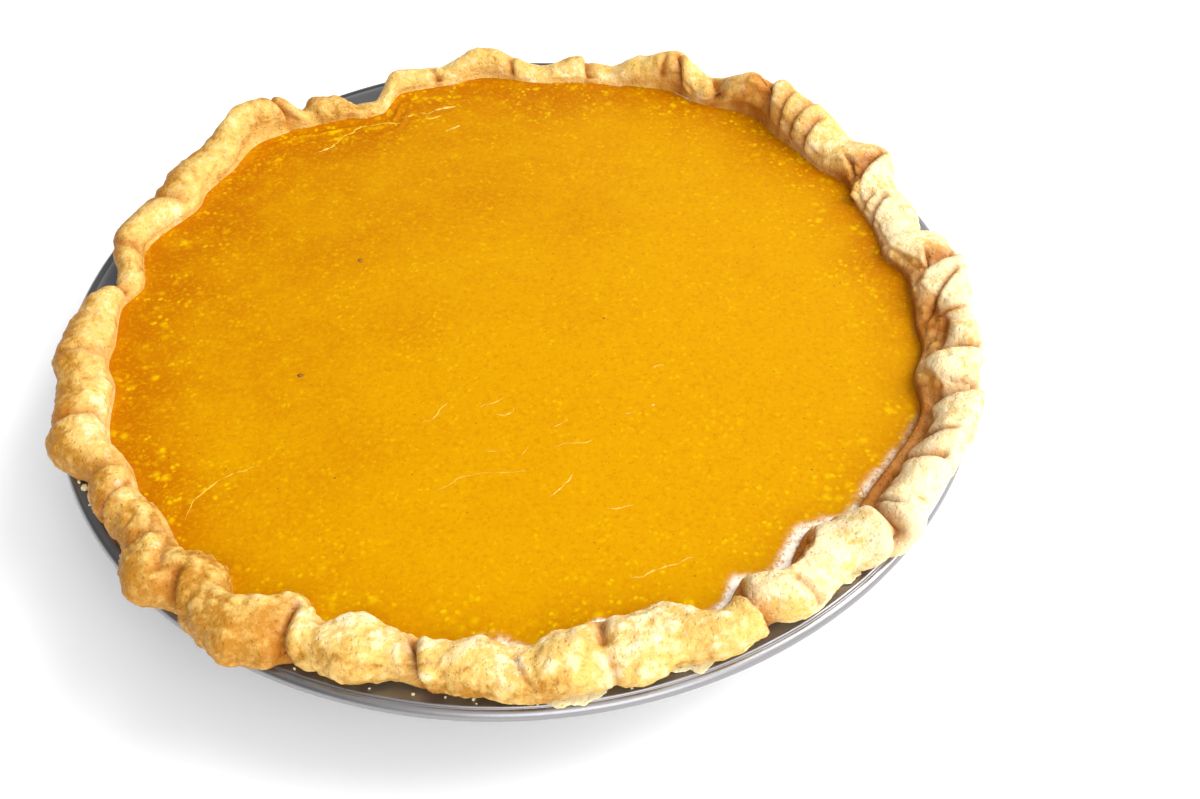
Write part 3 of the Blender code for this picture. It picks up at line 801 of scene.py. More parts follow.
# %% [markdown]
# ## The tin
#
# The tin is pressed from thin steel, so it is one profile turned about the axis: a flat base,
# a slanted wall, a flat lip and an edge rolled round a wire. Every corner is rounded, as a press
# leaves it.
# It is worked out here, and not kept plain, so that the lip's reflections run round it evenly.

# %% Profile of the tin
LIP_RADIUS = 125.0
SHEET = 0.8
BEAD_RADIUS = 1.6
BEAD_RISE = 0.35
TIN_STEPS = 420
CORNER_POINTS = 7
LONGEST_CUT = 0.45

PROFILE = (  # radius, height above the table, corner radius
    (92.5, 0.8, 0.0), (95.5, 2.4, 2.0), (112.6, 32.4, 1.4), (114.6, 34.0, 1.6),
    (121.3, 34.0, 1.5), (122.99, 34.3, 0.0),
)
OUTSIDE = (
    (120.9, 33.2, 0.8), (115.0, 33.2, 1.6), (113.5, 32.0, 1.4), (96.4, 2.0, 2.4),
    (93.3, 0.0, 1.0), (74.0, 0.0, 0.6), (73.0, 0.5, 0.6), (70.0, 0.5, 0.6), (69.0, 0.0, 0.6),
)


def rounded(corners):
    """A path through corners, each cut off by a curve from one side to the other.

    The curve starts and ends at the corner radius away from the corner, and is the quadratic
    curve through those two points with the corner as its control point."""
    places = np.array([corner[:2] for corner in corners])
    path = [places[:1]]
    for i in range(1, len(corners) - 1):
        cut = corners[i][2]
        before, after = places[i - 1] - places[i], places[i + 1] - places[i]
        near, far = np.linalg.norm(before), np.linalg.norm(after)
        start = places[i] + before / near * min(cut, LONGEST_CUT * near)
        end = places[i] + after / far * min(cut, LONGEST_CUT * far)
        t = np.linspace(0.0, 1.0, CORNER_POINTS)[:, None]
        path.append(start * (1 - t) ** 2 + 2 * places[i] * t * (1 - t) + end * t**2)
    path.append(places[-1:])
    return np.concatenate(path)


bead_turns = np.radians(np.linspace(105.0, -195.0, 26))
bead = np.stack((
    LIP_RADIUS - BEAD_RADIUS + BEAD_RADIUS * np.cos(bead_turns),
    TIN_HEIGHT + BEAD_RISE - BEAD_RADIUS + BEAD_RADIUS * np.sin(bead_turns),
), axis=1)
profile = np.concatenate((rounded(PROFILE), bead, rounded(OUTSIDE)))
tin_angles = np.arange(TIN_STEPS) * FULL_TURN / TIN_STEPS
tin_rings = on_circle(tin_angles[None, :], profile[:, :1], profile[:, 1:] - TIN_HEIGHT)
tin = ring_skin(
    "tin_turned", tin_rings, first_pole=[[0.0, 0.0, SHEET]], last_pole=[[0.0, 0.0, 0.0]],
)
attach(tin, "root")
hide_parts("tin")

# %% [markdown]
# ## Cracks and streaks in the filling
#
# As it cools the skin tears in hairline cracks, whose lifted edges catch the light, and they are
# given a pale colour as a painted highlight. Each one is a thin ribbon along its own path, half
# sunk in the filling, wide in its middle and broken up by noise. The pale streaks at the far left,
# where the filling rippled, are wider ribbons, their paleness a painted highlight too.

# %% Hairline cracks
# How pale each crack is: a painted highlight.
CRACKS = (  # half width, how pale, and the places it runs through, in millimetres from the middle
    (0.26, 0.35, (
        (-79, -71), (-78.5, -66.5), (-76.5, -62.5), (-73.5, -59), (-70, -56.5), (-63.5, -54),
    )),
    (0.24, 0.8, ((-19.5, -63.5), (-16, -61.5), (-13.5, -59.5), (-10.5, -58.5))),
    (0.14, 0.5, ((-10.5, -58.5), (-7.5, -57.5), (-3.5, -58), (0.5, -57.5), (4, -57.5))),
    (0.20, 0.6, ((-24, -40.5), (-21.5, -39.5), (-20, -36), (-17.5, -33.5))),
    (0.16, 0.5, ((-9.5, -35.5), (-6.5, -34.5), (-3.5, -32.5))),
    (0.28, 0.8, ((-5.5, -38), (-3.5, -39), (-1, -38), (-0.5, -36))),
    (0.16, 0.6, ((9.5, -43), (11.5, -41.5), (13.5, -40.5))),
    (0.22, 0.7, ((10, -49.5), (13.5, -48.5), (17.5, -48.5), (19.5, -47.5))),
    (0.18, 0.7, ((1, -53), (2, -51.5), (3.5, -49))),
    (0.26, 0.9, ((9, -66), (11.5, -63.5), (12.5, -61.5), (14, -60.5), (15, -58.5))),
    (0.20, 0.9, ((22.5, -70), (25.5, -70), (29.5, -69))),
    (0.30, 0.6, ((28, -90.5), (30.5, -90.5), (32.5, -89), (35.5, -88), (40.5, -86), (43, -85))),
    (0.22, 0.7, ((28, -38.5), (29.5, -39), (31.5, -38))),
    (0.30, 0.8, ((35, -36.5), (36, -36))),
    (0.22, 0.7, ((36, -23), (37.5, -21.5), (39, -21.5))),
    (0.12, 0.4, ((-8.5, -50.5), (-5.5, -51), (-1.5, -50.5))),
    (0.50, 0.8, ((-65, 74), (-61, 76.5), (-59.5, 79.5))),
    (0.80, 0.1, ((-61, 77), (-57, 83), (-53.5, 86), (-50, 87.5), (-44, 88), (-39, 88.5))),
    (0.40, 0.8, ((-40.5, 90.5), (-37, 92.5), (-34, 94), (-32, 93))),
    (0.95, 1.0, ((-32, 93), (-29.5, 95), (-27, 96), (-23, 97))),
    (0.70, 0.2, ((-33, 90), (-30, 90.5), (-27.5, 92))),
    (0.60, 0.9, ((-26, 83.5), (-23.5, 85), (-21, 86.5))),
)
CRACK_STEP = 0.35
CRACK_WIDTH = 0.72
CRACK_SECTION = (  # place across in half widths, and height, in order round the section
    (-1.0, -0.02), (-0.45, 0.12), (0.45, 0.12), (1.0, -0.02), (0.4, -0.20), (-0.4, -0.20),
)
CRACK_WANDER, WANDER_SIZE, BREAK_SIZE = 0.35, 2.6, 1.5
SMOOTHINGS = 8


def top_at(places):
    """Height of the filling's top above the lip at places given in millimetres."""
    turn = np.degrees(np.arctan2(places[:, 1], places[:, 0])) % FULL_TURN
    column = np.rint(turn / FULL_TURN * FILL_STEPS).astype(int) % FILL_STEPS
    gap = edge_radius[column] - np.hypot(places[:, 0], places[:, 1])
    row = np.interp(gap / edge_radius[column] * inward[-1], inward, np.arange(len(inward)))
    return fill_top[np.rint(row).astype(int), column]


def crack_rings(half_width, places, seed):
    """Rings of six points along a smoothed path: a flat section, thinner to both ends."""
    places = np.array(places, dtype=float)
    reach = np.concatenate(([0.0], np.cumsum(np.linalg.norm(np.diff(places, axis=0), axis=1))))
    along = np.arange(0.0, reach[-1], CRACK_STEP)
    path = np.stack([np.interp(along, reach, places[:, axis]) for axis in range(2)], axis=1)
    for _ in range(SMOOTHINGS):
        path[1:-1] = 0.25 * path[:-2] + 0.5 * path[1:-1] + 0.25 * path[2:]
    spot = np.column_stack((path, np.full(len(path), float(seed))))
    forward = np.gradient(path, axis=0)
    forward /= np.linalg.norm(forward, axis=1, keepdims=True)
    sideways = np.column_stack((-forward[:, 1], forward[:, 0]))
    path = path + sideways * (CRACK_WANDER * rough(spot, WANDER_SIZE, 91, octaves=2))[:, None]
    share = along / reach[-1]
    width = half_width * (0.15 + np.sin(math.pi * np.clip(share, 0.02, 0.98)) ** 0.7)
    broken = smoothstep(0.60 + rough(spot, BREAK_SIZE, 92, octaves=2))
    width = CRACK_WIDTH * width * (0.20 + 0.80 * broken)
    height = top_at(path) + TIN_HEIGHT
    fullness = np.minimum(width / half_width, 1.0)
    lines = [
        np.column_stack((path + sideways * (width * side)[:, None], height + rise * fullness))
        for side, rise in CRACK_SECTION
    ]
    return np.stack(lines, axis=1)


def end_pole(ring):
    """The middle of a ring, as the pole that closes a skin."""
    return ring.mean(axis=0, keepdims=True)


crack_skins, highlight_shares = [], []
for number, (half_width, pale, places) in enumerate(CRACKS):
    rings = crack_rings(half_width, places, 10 * number)
    skin = closed_skin(rings, end_pole(rings[0]), end_pole(rings[-1]))
    crack_skins.append(skin)
    highlight_shares.append(np.full(len(skin[0]), pale))
cracks = skins_object("hairline_cracks", crack_skins)
keep_values(cracks, "pale", np.concatenate(highlight_shares))
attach(cracks, "root")

# %% [markdown]
# ## Flakes, crumbs and specks
#
# Where the edge was pressed onto the tin, thin ragged flakes of pastry lie on the lip, and crumbs
# have fallen beside them. A flake is a thin sheet with a torn outer edge, a crumb a small knobbly
# lump. A few dark specks of squash skin and spice lie on the filling.

# %% Flakes on the lip
FLAKES = (  # inner radius, then angle and outer radius along the torn edge
    (118.5, (
        (274.0, 122.4), (274.9, 123.3), (275.6, 123.9), (276.5, 123.4),
        (277.8, 123.9), (278.6, 123.0), (279.9, 121.7), (280.6, 120.6),
    )),
    (119.0, ((276.9, 121.8), (277.6, 122.9), (278.4, 123.3), (279.4, 122.6), (280.4, 121.6))),
    (116.5, ((287.0, 119.0), (287.8, 120.6), (288.8, 121.0), (289.9, 120.9), (290.8, 119.6))),
    (117.5, ((289.3, 120.6), (289.8, 122.4), (290.5, 123.2), (291.3, 122.8), (292.6, 120.6))),
    (117.0, ((309.6, 120.0), (310.4, 121.2), (311.4, 121.6), (312.4, 121.0), (313.2, 120.0))),
)
FLAKE_STEP = 0.12
FLAKE_ROWS = 12
FLAKE_THICKNESS = 0.45
TEAR_DEPTH, TEAR_SIZE = 0.35, 1.3
CRUMPLE_RISE, CRUMPLE_SIZE = 0.30, 2.4
HINGE_RISE = 1.5


def lip_height(radius):
    """Height of the lip's top above its flat part: it rises a little to the rolled edge."""
    return BEAD_RISE * smoothstep((radius - 121.0) / 2.4)


def flake_rings(inner, edge, seed):
    """Rings round a thin sheet: out along its top to the torn edge and back along its underside.

    The underside lies on the lip, crumpled by smooth noise times the share of the way out, and
    rises to the pastry by the square of the share of the way in. It thins to both ends."""
    edge = np.array(edge, dtype=float)
    turn = np.arange(edge[0, 0], edge[-1, 0], FLAKE_STEP)
    outer = np.interp(turn, edge[:, 0], edge[:, 1])
    outer = outer + TEAR_DEPTH * rough(on_circle(turn, 120.0, float(seed)), TEAR_SIZE, 95)
    share = np.linspace(0.0, 1.0, FLAKE_ROWS)[:, None]
    radius = inner + (outer - inner) * share
    flat = on_circle(turn, radius, float(seed))
    crumple = CRUMPLE_RISE * rough(flat, CRUMPLE_SIZE, 96, octaves=2) * share + CRUMPLE_RISE
    under = lip_height(radius) + crumple + HINGE_RISE * (1.0 - share) ** 2
    sides = np.sin(math.pi * (turn - turn[0] + 0.05) / (turn[-1] - turn[0] + 0.1))
    thickness = FLAKE_THICKNESS * (1.0 - 0.7 * share**3) * np.minimum(1.0, sides * 3.0)
    top = on_circle(turn, radius, under + thickness)
    bottom = on_circle(turn, radius, under)
    return np.concatenate((top, bottom[::-1]), axis=0).transpose(1, 0, 2)


flake_skins = []
for number, (inner, edge) in enumerate(FLAKES):
    rings = flake_rings(inner, edge, 7 * number)
    flake_skins.append(closed_skin(rings, end_pole(rings[0]), end_pole(rings[-1])))
flakes = skins_object("pastry_flakes", flake_skins)
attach(flakes, "root")

# %% Crumbs on the lip
BIG_CRUMBS = (  # angle, radius, size
    (208.8, 121.9, 2.3), (207.6, 122.6, 1.1), (260.2, 120.6, 0.9), (263.6, 120.4, 0.7),
    (266.6, 120.6, 0.9), (273.2, 122.2, 0.8), (247.0, 121.4, 0.7), (211.6, 122.4, 0.8),
    (283.0, 121.6, 0.7), (255.5, 121.0, 0.6),
)
SMALL_CRUMBS = 26
CRUMB_SINK = 0.3
BLOB_ROWS = 7
BLOB_STEPS = 12
KNOBBLY = 0.45
chance = np.random.default_rng(5)


def blob(centre, size, flatness, seed):
    """A small knobbly lump: a ball whose radius varies with smooth noise, pressed flat."""
    tilt = np.linspace(0.0, math.pi, BLOB_ROWS + 2)[1:-1][:, None]
    turn = np.arange(BLOB_STEPS) * 2.0 * math.pi / BLOB_STEPS
    way = (np.sin(tilt) * np.cos(turn), np.sin(tilt) * np.sin(turn), np.cos(tilt))
    way = np.stack(np.broadcast_arrays(*way), axis=-1)
    swell = 1.0 + KNOBBLY * rough(way, 0.9, seed, octaves=2)
    shape = np.array((1.0, 0.8, flatness)) * size * 0.5
    lean = chance.uniform(0.0, 2.0 * math.pi)
    sine, cosine = math.sin(lean), math.cos(lean)
    spin = np.array(((cosine, -sine, 0), (sine, cosine, 0), (0, 0, 1)))
    rings = centre + (way * swell[..., None] * shape) @ spin.T
    ends = np.array(((0, 0, 1.0), (0, 0, -1.0))) * shape
    return closed_skin(rings, centre + ends[:1], centre + ends[1:])


crumb_skins = []
for number, (turn, radius, size) in enumerate(BIG_CRUMBS):
    centre = on_circle(turn, radius, float(lip_height(radius)) + CRUMB_SINK * size)
    crumb_skins.append(blob(centre, size, 0.65, 200 + number))
for number in range(SMALL_CRUMBS):
    turn, radius = chance.uniform(0.0, FULL_TURN), chance.uniform(119.0, 123.0)
    size = chance.uniform(0.25, 0.55)
    centre = on_circle(turn, radius, float(lip_height(radius)) + CRUMB_SINK * size)
    crumb_skins.append(blob(centre, size, 0.7, 300 + number))
crumbs = skins_object("crumbs", crumb_skins)
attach(crumbs, "root")

# %% Specks on the filling
SPECKS = (  # place right and away from the middle, and size
    (-57.5, -22.9, 1.5), (-46.6, 22.7, 1.7), (23.3, -3.5, 0.8), (-44.3, -58.6, 0.6),
    (73.8, -59.2, 0.6),
)
SMALL_SPECKS = 60
SPECK_FIELD = 100.0
speck_skins = []
for number in range(len(SPECKS) + SMALL_SPECKS):
    reach, way = SPECK_FIELD * math.sqrt(chance.random()), chance.uniform(0.0, 2.0 * math.pi)
    x, y, size = reach * math.cos(way), reach * math.sin(way), chance.uniform(0.25, 0.5)
    if number < len(SPECKS):
        x, y, size = SPECKS[number]
    level = float(top_at(np.array([[x, y]]))[0])
    speck_skins.append(blob(np.array((x, y, TIN_HEIGHT + level)), size, 0.25, 400 + number))
specks = skins_object("dark_specks", speck_skins)
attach(specks, "root")

# %% [markdown]
# ## Materials
#
# Each finish is a small network of nodes. Written as node after node that is hard to read, so a
# wire wraps one socket, and sums and products of wires add the Math nodes. A tree has the one
# method that adds every other node, from its type, its settings and what goes into its sockets.
# A finish is the tree of one material, with the few textures that the materials here share.

# %% Wires and nodes
class Wire:
    """One output of a node, with arithmetic that adds Math nodes."""

    def __init__(self, finish, socket):
        self.finish, self.socket = finish, socket

    def math(self, operation, *others):
        sockets = dict(enumerate((self, *others)))
        return self.finish.add("ShaderNodeMath", {"operation": operation}, sockets)

    def __add__(self, other):
        return self.math("ADD", other)

    def __mul__(self, other):
        return self.math("MULTIPLY", other)

    def __sub__(self, other):
        return self.math("SUBTRACT", other)

    def __rsub__(self, other):
        return (self * -1.0) + other

    __radd__ = __add__
    __rmul__ = __mul__

    def least(self, other):
        return self.math("MINIMUM", other)

    def most(self, other):
        return self.math("MAXIMUM", other)

    def ramp(self, low, high, start=0.0, end=1.0):
        """Eased from start to end as this goes from low to high."""
        settings = {"interpolation_type": "SMOOTHSTEP"}
        sockets = {"Value": self, "From Min": low, "From Max": high, "To Min": start, "To Max": end}
        return self.finish.add("ShaderNodeMapRange", settings, sockets)


class Tree:
    """A tree of nodes, and the one method that adds a node."""

    def __init__(self, tree):
        self.tree = tree

    def add(self, kind, settings=None, sockets=None, output=0):
        node = self.tree.nodes.new(kind)
        for name, value in (settings or {}).items():
            setattr(node, name, value)
        for name, value in (sockets or {}).items():
            self.plug(node.inputs[name], value)
        return Wire(self, node.outputs[output])

    def plug(self, socket, value):
        if isinstance(value, Wire):
            self.tree.links.new(value.socket, socket)
        else:
            socket.default_value = value

    def axis(self, vector, name):
        """One part of a vector: X, Y or Z."""
        return self.add("ShaderNodeSeparateXYZ", None, {0: vector}, output=name)


class Finish(Tree):
    """A material with its shader, and the textures that the materials share."""

    def __init__(self, name, **constants):
        self.material = bpy.data.materials.new(name)
        self.material.use_nodes = True
        super().__init__(self.material.node_tree)
        self.shader = self.tree.nodes["Principled BSDF"]
        for socket, value in constants.items():
            self.shader.inputs[socket.replace("_", " ")].default_value = value

    def feed(self, **sockets):
        for name, value in sockets.items():
            self.plug(self.shader.inputs[name.replace("_", " ")], value)

    def place(self):
        """Object coordinates, in metres."""
        return self.add("ShaderNodeTexCoord", output="Object")

    def value(self, name):
        """A number kept at the mesh's points."""
        return self.add("ShaderNodeAttribute", {"attribute_name": name}, output="Fac")

    def clouds(self, place, size, detail=3.0, roughness=0.5, stretch=None):
        """Noise from 0 to 1 with features about as wide as size in millimetres."""
        if stretch is not None:
            place = self.add("ShaderNodeMapping", None, {"Vector": place, "Scale": stretch})
        sockets = {"Vector": place, "Scale": 1.0 / (size * MM)}
        sockets.update({"Detail": detail, "Roughness": roughness})
        return self.add("ShaderNodeTexNoise", None, sockets)

    def spots(self, place, size):
        """Distance to the nearest of scattered centres that are about size millimetres apart."""
        sockets = {"Vector": place, "Scale": 1.0 / (size * MM)}
        return self.add("ShaderNodeTexVoronoi", None, sockets, output="Distance")

    def mix(self, share, first, second):
        """A colour between two others, by a share from 0 to 1."""
        settings = {"data_type": "RGBA", "clamp_factor": True}
        sockets = {0: share, 6: colour(first), 7: colour(second)}
        return self.add("ShaderNodeMix", settings, sockets, output=2)

    def layers(self, base, *overs):
        """Colours laid one after the other over a base, each by its own share from 0 to 1."""
        for share, over in overs:
            base = self.mix(share, base, over)
        return base

    def bump(self, height, millimetres, below=None):
        """Relief for light only: height from 0 to 1 times the given millimetres."""
        sockets = {"Height": height, "Distance": millimetres * MM}
        if below is not None:
            sockets["Normal"] = below
        return self.add("ShaderNodeBump", None, sockets)


def colour(value):
    """Three numbers as a colour with full alpha, and a wire unchanged."""
    return value if isinstance(value, Wire) else (*value, 1.0)


# %% [markdown]
# ### Baked pastry
#
# Short pastry bakes from cream through gold to brown, in soft patches, with darker flecks of
# browned butter and pale floury dust. The light reaches a little way in, and the surface is
# dull with a trace of fat. The kept numbers give the large patches and the noise breaks them up.
# Some light and shade is painted in: blister tops and bumps on the inner face are lighter, a
# painted highlight, and the left side, creases, pockets, the inner face and the foot by the filling
# are darker, painted shade mixed with real browning and custard stain.

# %% Pastry material
CREAM = (0.85, 0.70, 0.40)
GOLD = (0.69, 0.435, 0.115)
TOAST = (0.405, 0.170, 0.010)
UMBER = (0.27, 0.095, 0.012)
FLOUR_AND_HIGHLIGHT_PALE = (0.86, 0.765, 0.55)
INNER_BROWN_AND_SHADE = (0.51, 0.180, 0.004)
INNER_LIT_BEIGE = (0.84, 0.52, 0.11)
CREASE_SHADE_BROWN = (0.36, 0.105, 0.005)
STAINED = (0.55, 0.235, 0.022)
CONTACT_SHADE_BROWN = (0.34, 0.100, 0.004)
WARM_SHINE = (1.0, 0.86, 0.60, 1.0)
GLOW_REACH = (1.0, 0.38, 0.10)

pastry = Finish(
    "baked_pastry", Specular_IOR_Level=0.34, Specular_Tint=WARM_SHINE, Subsurface_Weight=0.25,
    Subsurface_Radius=GLOW_REACH, Subsurface_Scale=0.002,
)
place = pastry.place()
browned_and_shaded = pastry.value("brown")
crease = pastry.value("crease")
inside = pastry.value("inside")
mottle = pastry.clouds(place, 5.0, detail=4.0, roughness=0.6)
fine = pastry.clouds(place, 1.6, detail=3.0, roughness=0.6)
tone = browned_and_shaded + (mottle - 0.5) * 0.9 + (fine - 0.5) * 0.9
dusting = pastry.clouds(place, 2.4, detail=2.0).ramp(0.52, 0.68) * 0.7
# Lighter blister tops are a painted highlight; the dusting is real flour.
painted_top_highlight = pastry.value("top_highlight").ramp(0.55, 0.95) * 0.35
flour_and_highlight = (dusting + painted_top_highlight) * (1.0 - browned_and_shaded).ramp(0.05, 0.8)
# Inner face: bumps lighter as a painted highlight, the rest darker, brown pastry and painted shade.
inner_light = (pastry.value("bumps") * 0.9 + mottle * 0.6 + fine * 0.4).ramp(0.55, 1.15)
inner_tone = pastry.mix(inner_light, INNER_BROWN_AND_SHADE, INNER_LIT_BEIGE)
# Custard stain at the foot, turning to painted shade where the inner face is.
stain_and_contact_shade = pastry.mix(inside.ramp(0.1, 0.5), STAINED, CONTACT_SHADE_BROWN)
flecks = pastry.spots(place, 4.5).ramp(0.14, 0.05) * pastry.clouds(place, 9.0).ramp(0.5, 0.7)
base = pastry.layers(
    CREAM,
    (tone.ramp(0.05, 0.50), GOLD),
    (tone.ramp(0.50, 1.12), TOAST),
    (flour_and_highlight * 0.5, FLOUR_AND_HIGHLIGHT_PALE),
    # The inner face, with painted highlight on its bumps and painted shade between them.
    ((inside * (0.55 + mottle * 0.7)).least(1.0), inner_tone),
    # Painted shade in creases, pockets and along the edge of the inner face.
    ((crease * (0.5 + mottle * 0.8)).least(0.9), CREASE_SHADE_BROWN),
    ((pastry.value("foot") * (0.5 + mottle)).least(0.95), stain_and_contact_shade),
    (flecks * 0.5, UMBER),
)
grain_height = pastry.clouds(place, 0.9, detail=3.0, roughness=0.65)
pores = pastry.spots(place, 1.3).ramp(0.05, 0.35)
normal = pastry.bump(grain_height, 0.40, pastry.bump(pores, 0.20))
pastry.feed(Base_Color=base, Roughness=fine.ramp(0.3, 0.7, 0.42, 0.60), Normal=normal)
for item in (crust, flakes, crumbs):
    item.data.materials.append(pastry.material)

# %% [markdown]
# ### Squash custard
#
# The filling is a deep golden orange, more orange towards the edge where it baked longest, with
# clouds of fine yellow bubbles there, tiny dark specks all over, and a satin skin. It is a deeper
# orange towards the far side. Painted shade makes the left side a deeper orange and the right
# side, towards the window, yellower, and darkens a thin line along the pastry. On one side a pale
# band shows, partly a film where the skin pulled away from the pastry and partly a painted
# reflection, and the ripples at the far left have yellow streaks of painted highlight.

# %% Custard material
GOLDEN = (0.520, 0.238, 0.0002)
ORANGE = (0.385, 0.116, 0.0002)
BRIGHT = (0.545, 0.270, 0.0003)
YELLOW = (0.68, 0.43, 0.001)
FILM_AND_SHEEN_PALE = (0.95, 0.86, 0.73)
CONTACT_SHADE = (0.33, 0.080, 0.001)
SPECK = (0.13, 0.05, 0.003)
ORANGE_SHINE = (1.0, 0.50, 0.02, 1.0)
WANDER_SCALE = 420.0
WANDER_REACH = 0.0016

custard = Finish("squash_custard", Specular_IOR_Level=0.07, Specular_Tint=ORANGE_SHINE)
place = custard.place()
edge = custard.value("edge")
film_and_sheen_mask = custard.value("film_and_sheen")
gap_line = custard.value("rim_gap")
ripple_mask = custard.value("ripple")
clouds = custard.clouds(place, 30.0, detail=3.0)
streaks = custard.clouds(place, 7.0, detail=4.0, roughness=0.6)
side, far = custard.axis(place, "X"), custard.axis(place, "Y")
# Painted shade: left side deeper orange, right side by the window yellower; far side more orange.
warm = (edge * 0.75 + (clouds - 0.5) * 0.9 + side * -3.0 + far * 2.4 + 0.24).ramp(0.0, 1.1)
fine_mottle = custard.clouds(place, 1.3, detail=3.0, roughness=0.7)

# Yellow bubbles in three sizes, the two larger at places moved about by noise and in patches
sockets = {"Vector": place, "Scale": WANDER_SCALE, "Detail": 2.0}
wander = custard.add("ShaderNodeTexNoise", None, sockets, output="Color")
sockets = {0: wander, 1: (WANDER_REACH,) * 3, 2: place}
moved_place = custard.add("ShaderNodeVectorMath", {"operation": "MULTIPLY_ADD"}, sockets)
freckle_share = custard.clouds(place, 14.0, detail=3.0, roughness=0.6).ramp(0.38, 0.62)
freckle_share = 0.12 + freckle_share * edge.ramp(-0.35, 0.45)
freckle_patches = custard.clouds(place, 4.6, detail=1.0).ramp(0.40, 0.58)
freckles = custard.spots(moved_place, 2.0).ramp(0.46, 0.08) * freckle_patches
large_patches = custard.clouds(place, 9.0, detail=1.0).ramp(0.40, 0.58)
large_freckles = custard.spots(moved_place, 4.4).ramp(0.40, 0.04) * large_patches
tiny_patches = custard.clouds(place, 2.4, detail=2.0).ramp(0.50, 0.66)
tiny = custard.spots(place, 0.95).ramp(0.34, 0.08) * tiny_patches
large_share = freckle_share * edge.ramp(0.0, 0.5)
yellowed = (freckles * freckle_share + large_freckles * large_share).least(1.0)

# The pale band, partly torn film and partly a painted reflection, broken into holes and patches.
film_and_sheen_holes = custard.clouds(place, 0.9, detail=3.0, roughness=0.7).ramp(0.36, 0.52)
film_and_sheen_patches = custard.clouds(place, 3.4, detail=1.0).ramp(0.30, 0.50, 0.5, 1.0)
film_and_sheen_broken = film_and_sheen_mask * (0.40 + film_and_sheen_mask * 0.30 + film_and_sheen_holes * 0.7) * film_and_sheen_patches
base = custard.layers(
    GOLDEN,
    (warm, ORANGE),
    (streaks.ramp(0.45, 0.75) * 0.35, BRIGHT),
    (fine_mottle.ramp(0.50, 0.66) * 0.45, BRIGHT),
    (fine_mottle.ramp(0.48, 0.34) * 0.30, ORANGE),
    ((yellowed * 0.70 + tiny * 0.45).least(1.0), YELLOW),
    (custard.spots(place, 6.0).ramp(0.050, 0.022) * 0.7, SPECK),
    # Yellow streaks on the far-left ripples: a painted highlight.
    (ripple_mask.ramp(0.35, 0.95) * streaks.ramp(0.4, 0.6) * 0.7, YELLOW),
    # The pale band: partly torn film, partly a painted reflection.
    (film_and_sheen_broken.ramp(0.05, 0.90, 0.0, 0.95), FILM_AND_SHEEN_PALE),
    # A thin dark line against the pastry: painted shade.
    (gap_line * (1.0 - film_and_sheen_broken) * 0.5, CONTACT_SHADE),
)
skin_fine = custard.clouds(place, 0.8, detail=2.0)
skin_slow = custard.clouds(place, 4.0, detail=3.0)
normal = custard.bump(skin_fine, 0.05, custard.bump(skin_slow, 0.12, custard.bump(yellowed, 0.10)))
custard.feed(Base_Color=base, Roughness=skin_slow.ramp(0.3, 0.7, 0.44, 0.58), Normal=normal)
filling.data.materials.append(custard.material)

# %% Torn skin and specks
TORN_YELLOW = (0.62, 0.34, 0.001)
TORN_HIGHLIGHT_PALE = (0.80, 0.62, 0.24)
SPICE_BROWN = (0.36, 0.16, 0.008)

torn = Finish("torn_skin", Specular_IOR_Level=0.3, Roughness=0.45)
patchy = torn.clouds(torn.place(), 1.6, detail=2.0).ramp(0.35, 0.6)
# The pale share is a painted highlight on lifted edges and ripple streaks.
torn_highlight_share = torn.value("pale") * (0.10 + patchy * 0.60)
torn.feed(Base_Color=torn.mix(torn_highlight_share, TORN_YELLOW, TORN_HIGHLIGHT_PALE))
cracks.data.materials.append(torn.material)

spice = Finish("dark_speck", Specular_IOR_Level=0.2)
spice_tone = spice.clouds(spice.place(), 0.5)
spice_roughness = spice_tone.ramp(0.3, 0.7, 0.5, 0.7)
spice.feed(Base_Color=spice.mix(spice_tone, SPECK, SPICE_BROWN), Roughness=spice_roughness)
specks.data.materials.append(spice.material)

# %% [markdown]
# ### Coated metal
#
# The tin has a dark grey non-stick coat with a satin sheen. It varies slowly from place to place,
# has a very fine grain, and faint lighter scuffs where other tins and hands have worn it.

# %% Tin material
COAT_DARK = (0.255, 0.247, 0.25)
COAT_LIGHT = (0.30, 0.29, 0.293)
COAT_SCUFFED = (0.34, 0.333, 0.34)
SCUFF_STRETCH = (1.0, 1.0, 5.0)

coat = Finish("coated_metal", Specular_IOR_Level=0.75)
place = coat.place()
spread = coat.clouds(place, 18.0, detail=3.0)
speckle = coat.clouds(place, 0.7, detail=2.0)
scuffs = coat.clouds(place, 6.0, detail=5.0, roughness=0.7, stretch=SCUFF_STRETCH)
scuffs = scuffs.ramp(0.60, 0.78)
coat.feed(
    Base_Color=coat.layers(COAT_DARK, (spread, COAT_LIGHT), (scuffs * 0.35, COAT_SCUFFED)),
    Metallic=spread.ramp(0.0, 1.0, 0.86, 0.94),
    Roughness=(speckle * 0.10 + scuffs * 0.06 + 0.26), Normal=coat.bump(speckle, 0.02),
)
tin.data.materials.append(coat.material)

# %% [markdown]
# ## Floor and light
#
# A plain pale table and soft light, as in a bright kitchen by a window. The window is to the right
# and a little behind, so the shadow falls softly to the left and to the front. The room round
# the pie is brighter on the right and near side than on the left, and pale low down all round.

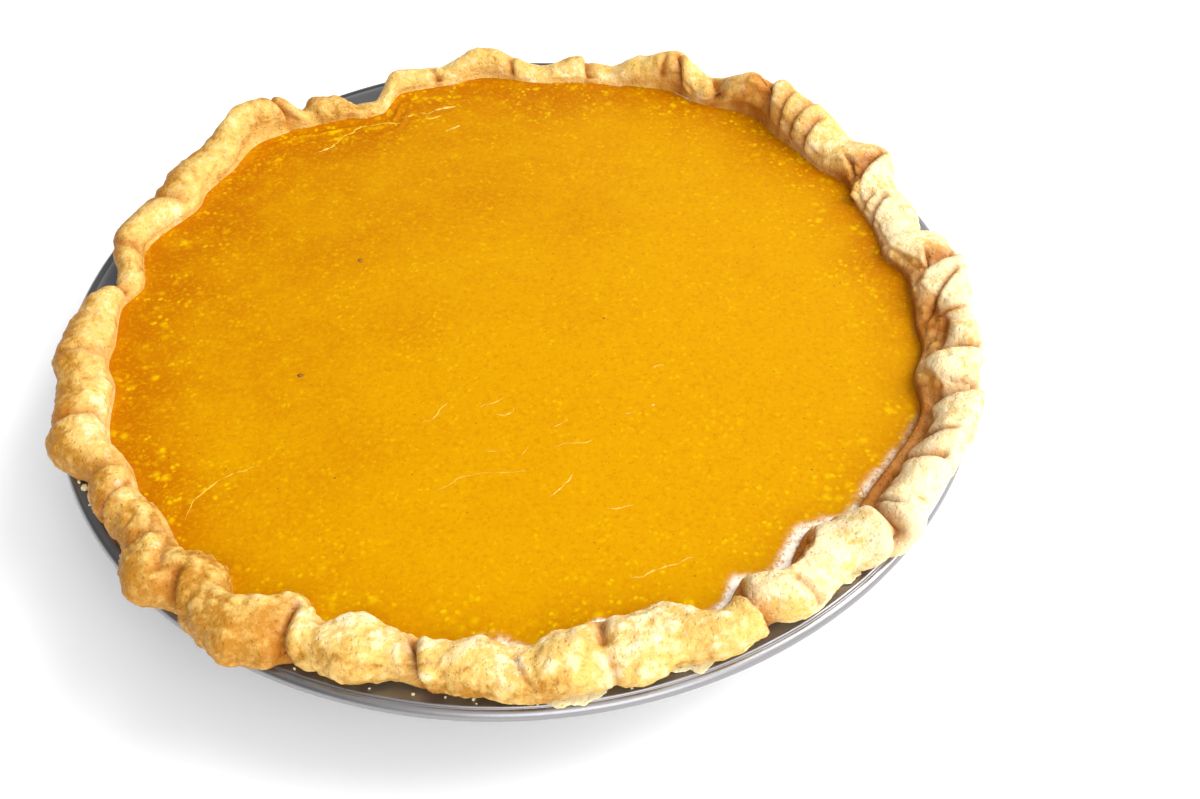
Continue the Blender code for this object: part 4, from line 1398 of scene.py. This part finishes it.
# %% Floor, lights and world
FLOOR_SIDE = 6.0
FLOOR_TONE = (0.95, 0.945, 0.94, 1.0)
ROOM_TONE = (0.97, 0.98, 1.0, 1.0)
PIE_MIDDLE = (0.0, 0.0, 0.03)
BRIGHT_SIDE = (0.90, -0.25, 0.35)
DIM_ROOM = 0.12
BRIGHT_ROOM = 1.46
LOW_ROOM = 0.95
half = 0.5 * FLOOR_SIDE
floor_mesh = bpy.data.meshes.new("floor")
floor_corners = [(-half, -half, 0), (half, -half, 0), (half, half, 0), (-half, half, 0)]
floor_mesh.from_pydata(floor_corners, [], [(0, 1, 2, 3)])
floor = bpy.data.objects.new("floor", floor_mesh)
bpy.context.scene.collection.objects.link(floor)
floor_finish = Finish("pale_table", Base_Color=FLOOR_TONE, Roughness=0.6)
floor_mesh.materials.append(floor_finish.material)


def soft_light(name, place, side, watts, tint):
    """A square area light at a place in metres, facing the middle of the pie."""
    data = bpy.data.lights.new(name, "AREA")
    data.shape, data.size, data.energy, data.color = "SQUARE", side, watts, tint
    light = bpy.data.objects.new(name, data)
    bpy.context.scene.collection.objects.link(light)
    away = np.array(place) - np.array(PIE_MIDDLE)
    yaw = Matrix.Rotation(math.atan2(away[0], -away[1]), 4, "Z")
    tilt = Matrix.Rotation(math.atan2(math.hypot(away[0], away[1]), away[2]), 4, "X")
    light.matrix_world = Matrix.Translation(place) @ yaw @ tilt


soft_light("window", (0.92, 0.10, 1.05), side=0.85, watts=16.0, tint=(1.0, 0.985, 0.96))
soft_light("bounce", (0.3, -1.1, 0.9), side=1.0, watts=9.0, tint=(0.98, 0.985, 1.0))

# %% The room round the pie
world = bpy.data.worlds.new("room")
world.use_nodes = True
room = Tree(world.node_tree)
way = room.add("ShaderNodeTexCoord", output="Generated")
towards = {0: way, 1: BRIGHT_SIDE}
lean = room.add("ShaderNodeVectorMath", {"operation": "DOT_PRODUCT"}, towards, output="Value")
low = room.axis(way, "Z").ramp(0.30, 0.12)
backdrop = world.node_tree.nodes["Background"]
brightness = lean.ramp(-0.30, 0.45, DIM_ROOM, BRIGHT_ROOM).most(low * LOW_ROOM)
room.plug(backdrop.inputs["Strength"], brightness)
backdrop.inputs["Color"].default_value = ROOM_TONE
bpy.context.scene.world = world
bpy.context.scene.view_settings.view_transform = "Standard"
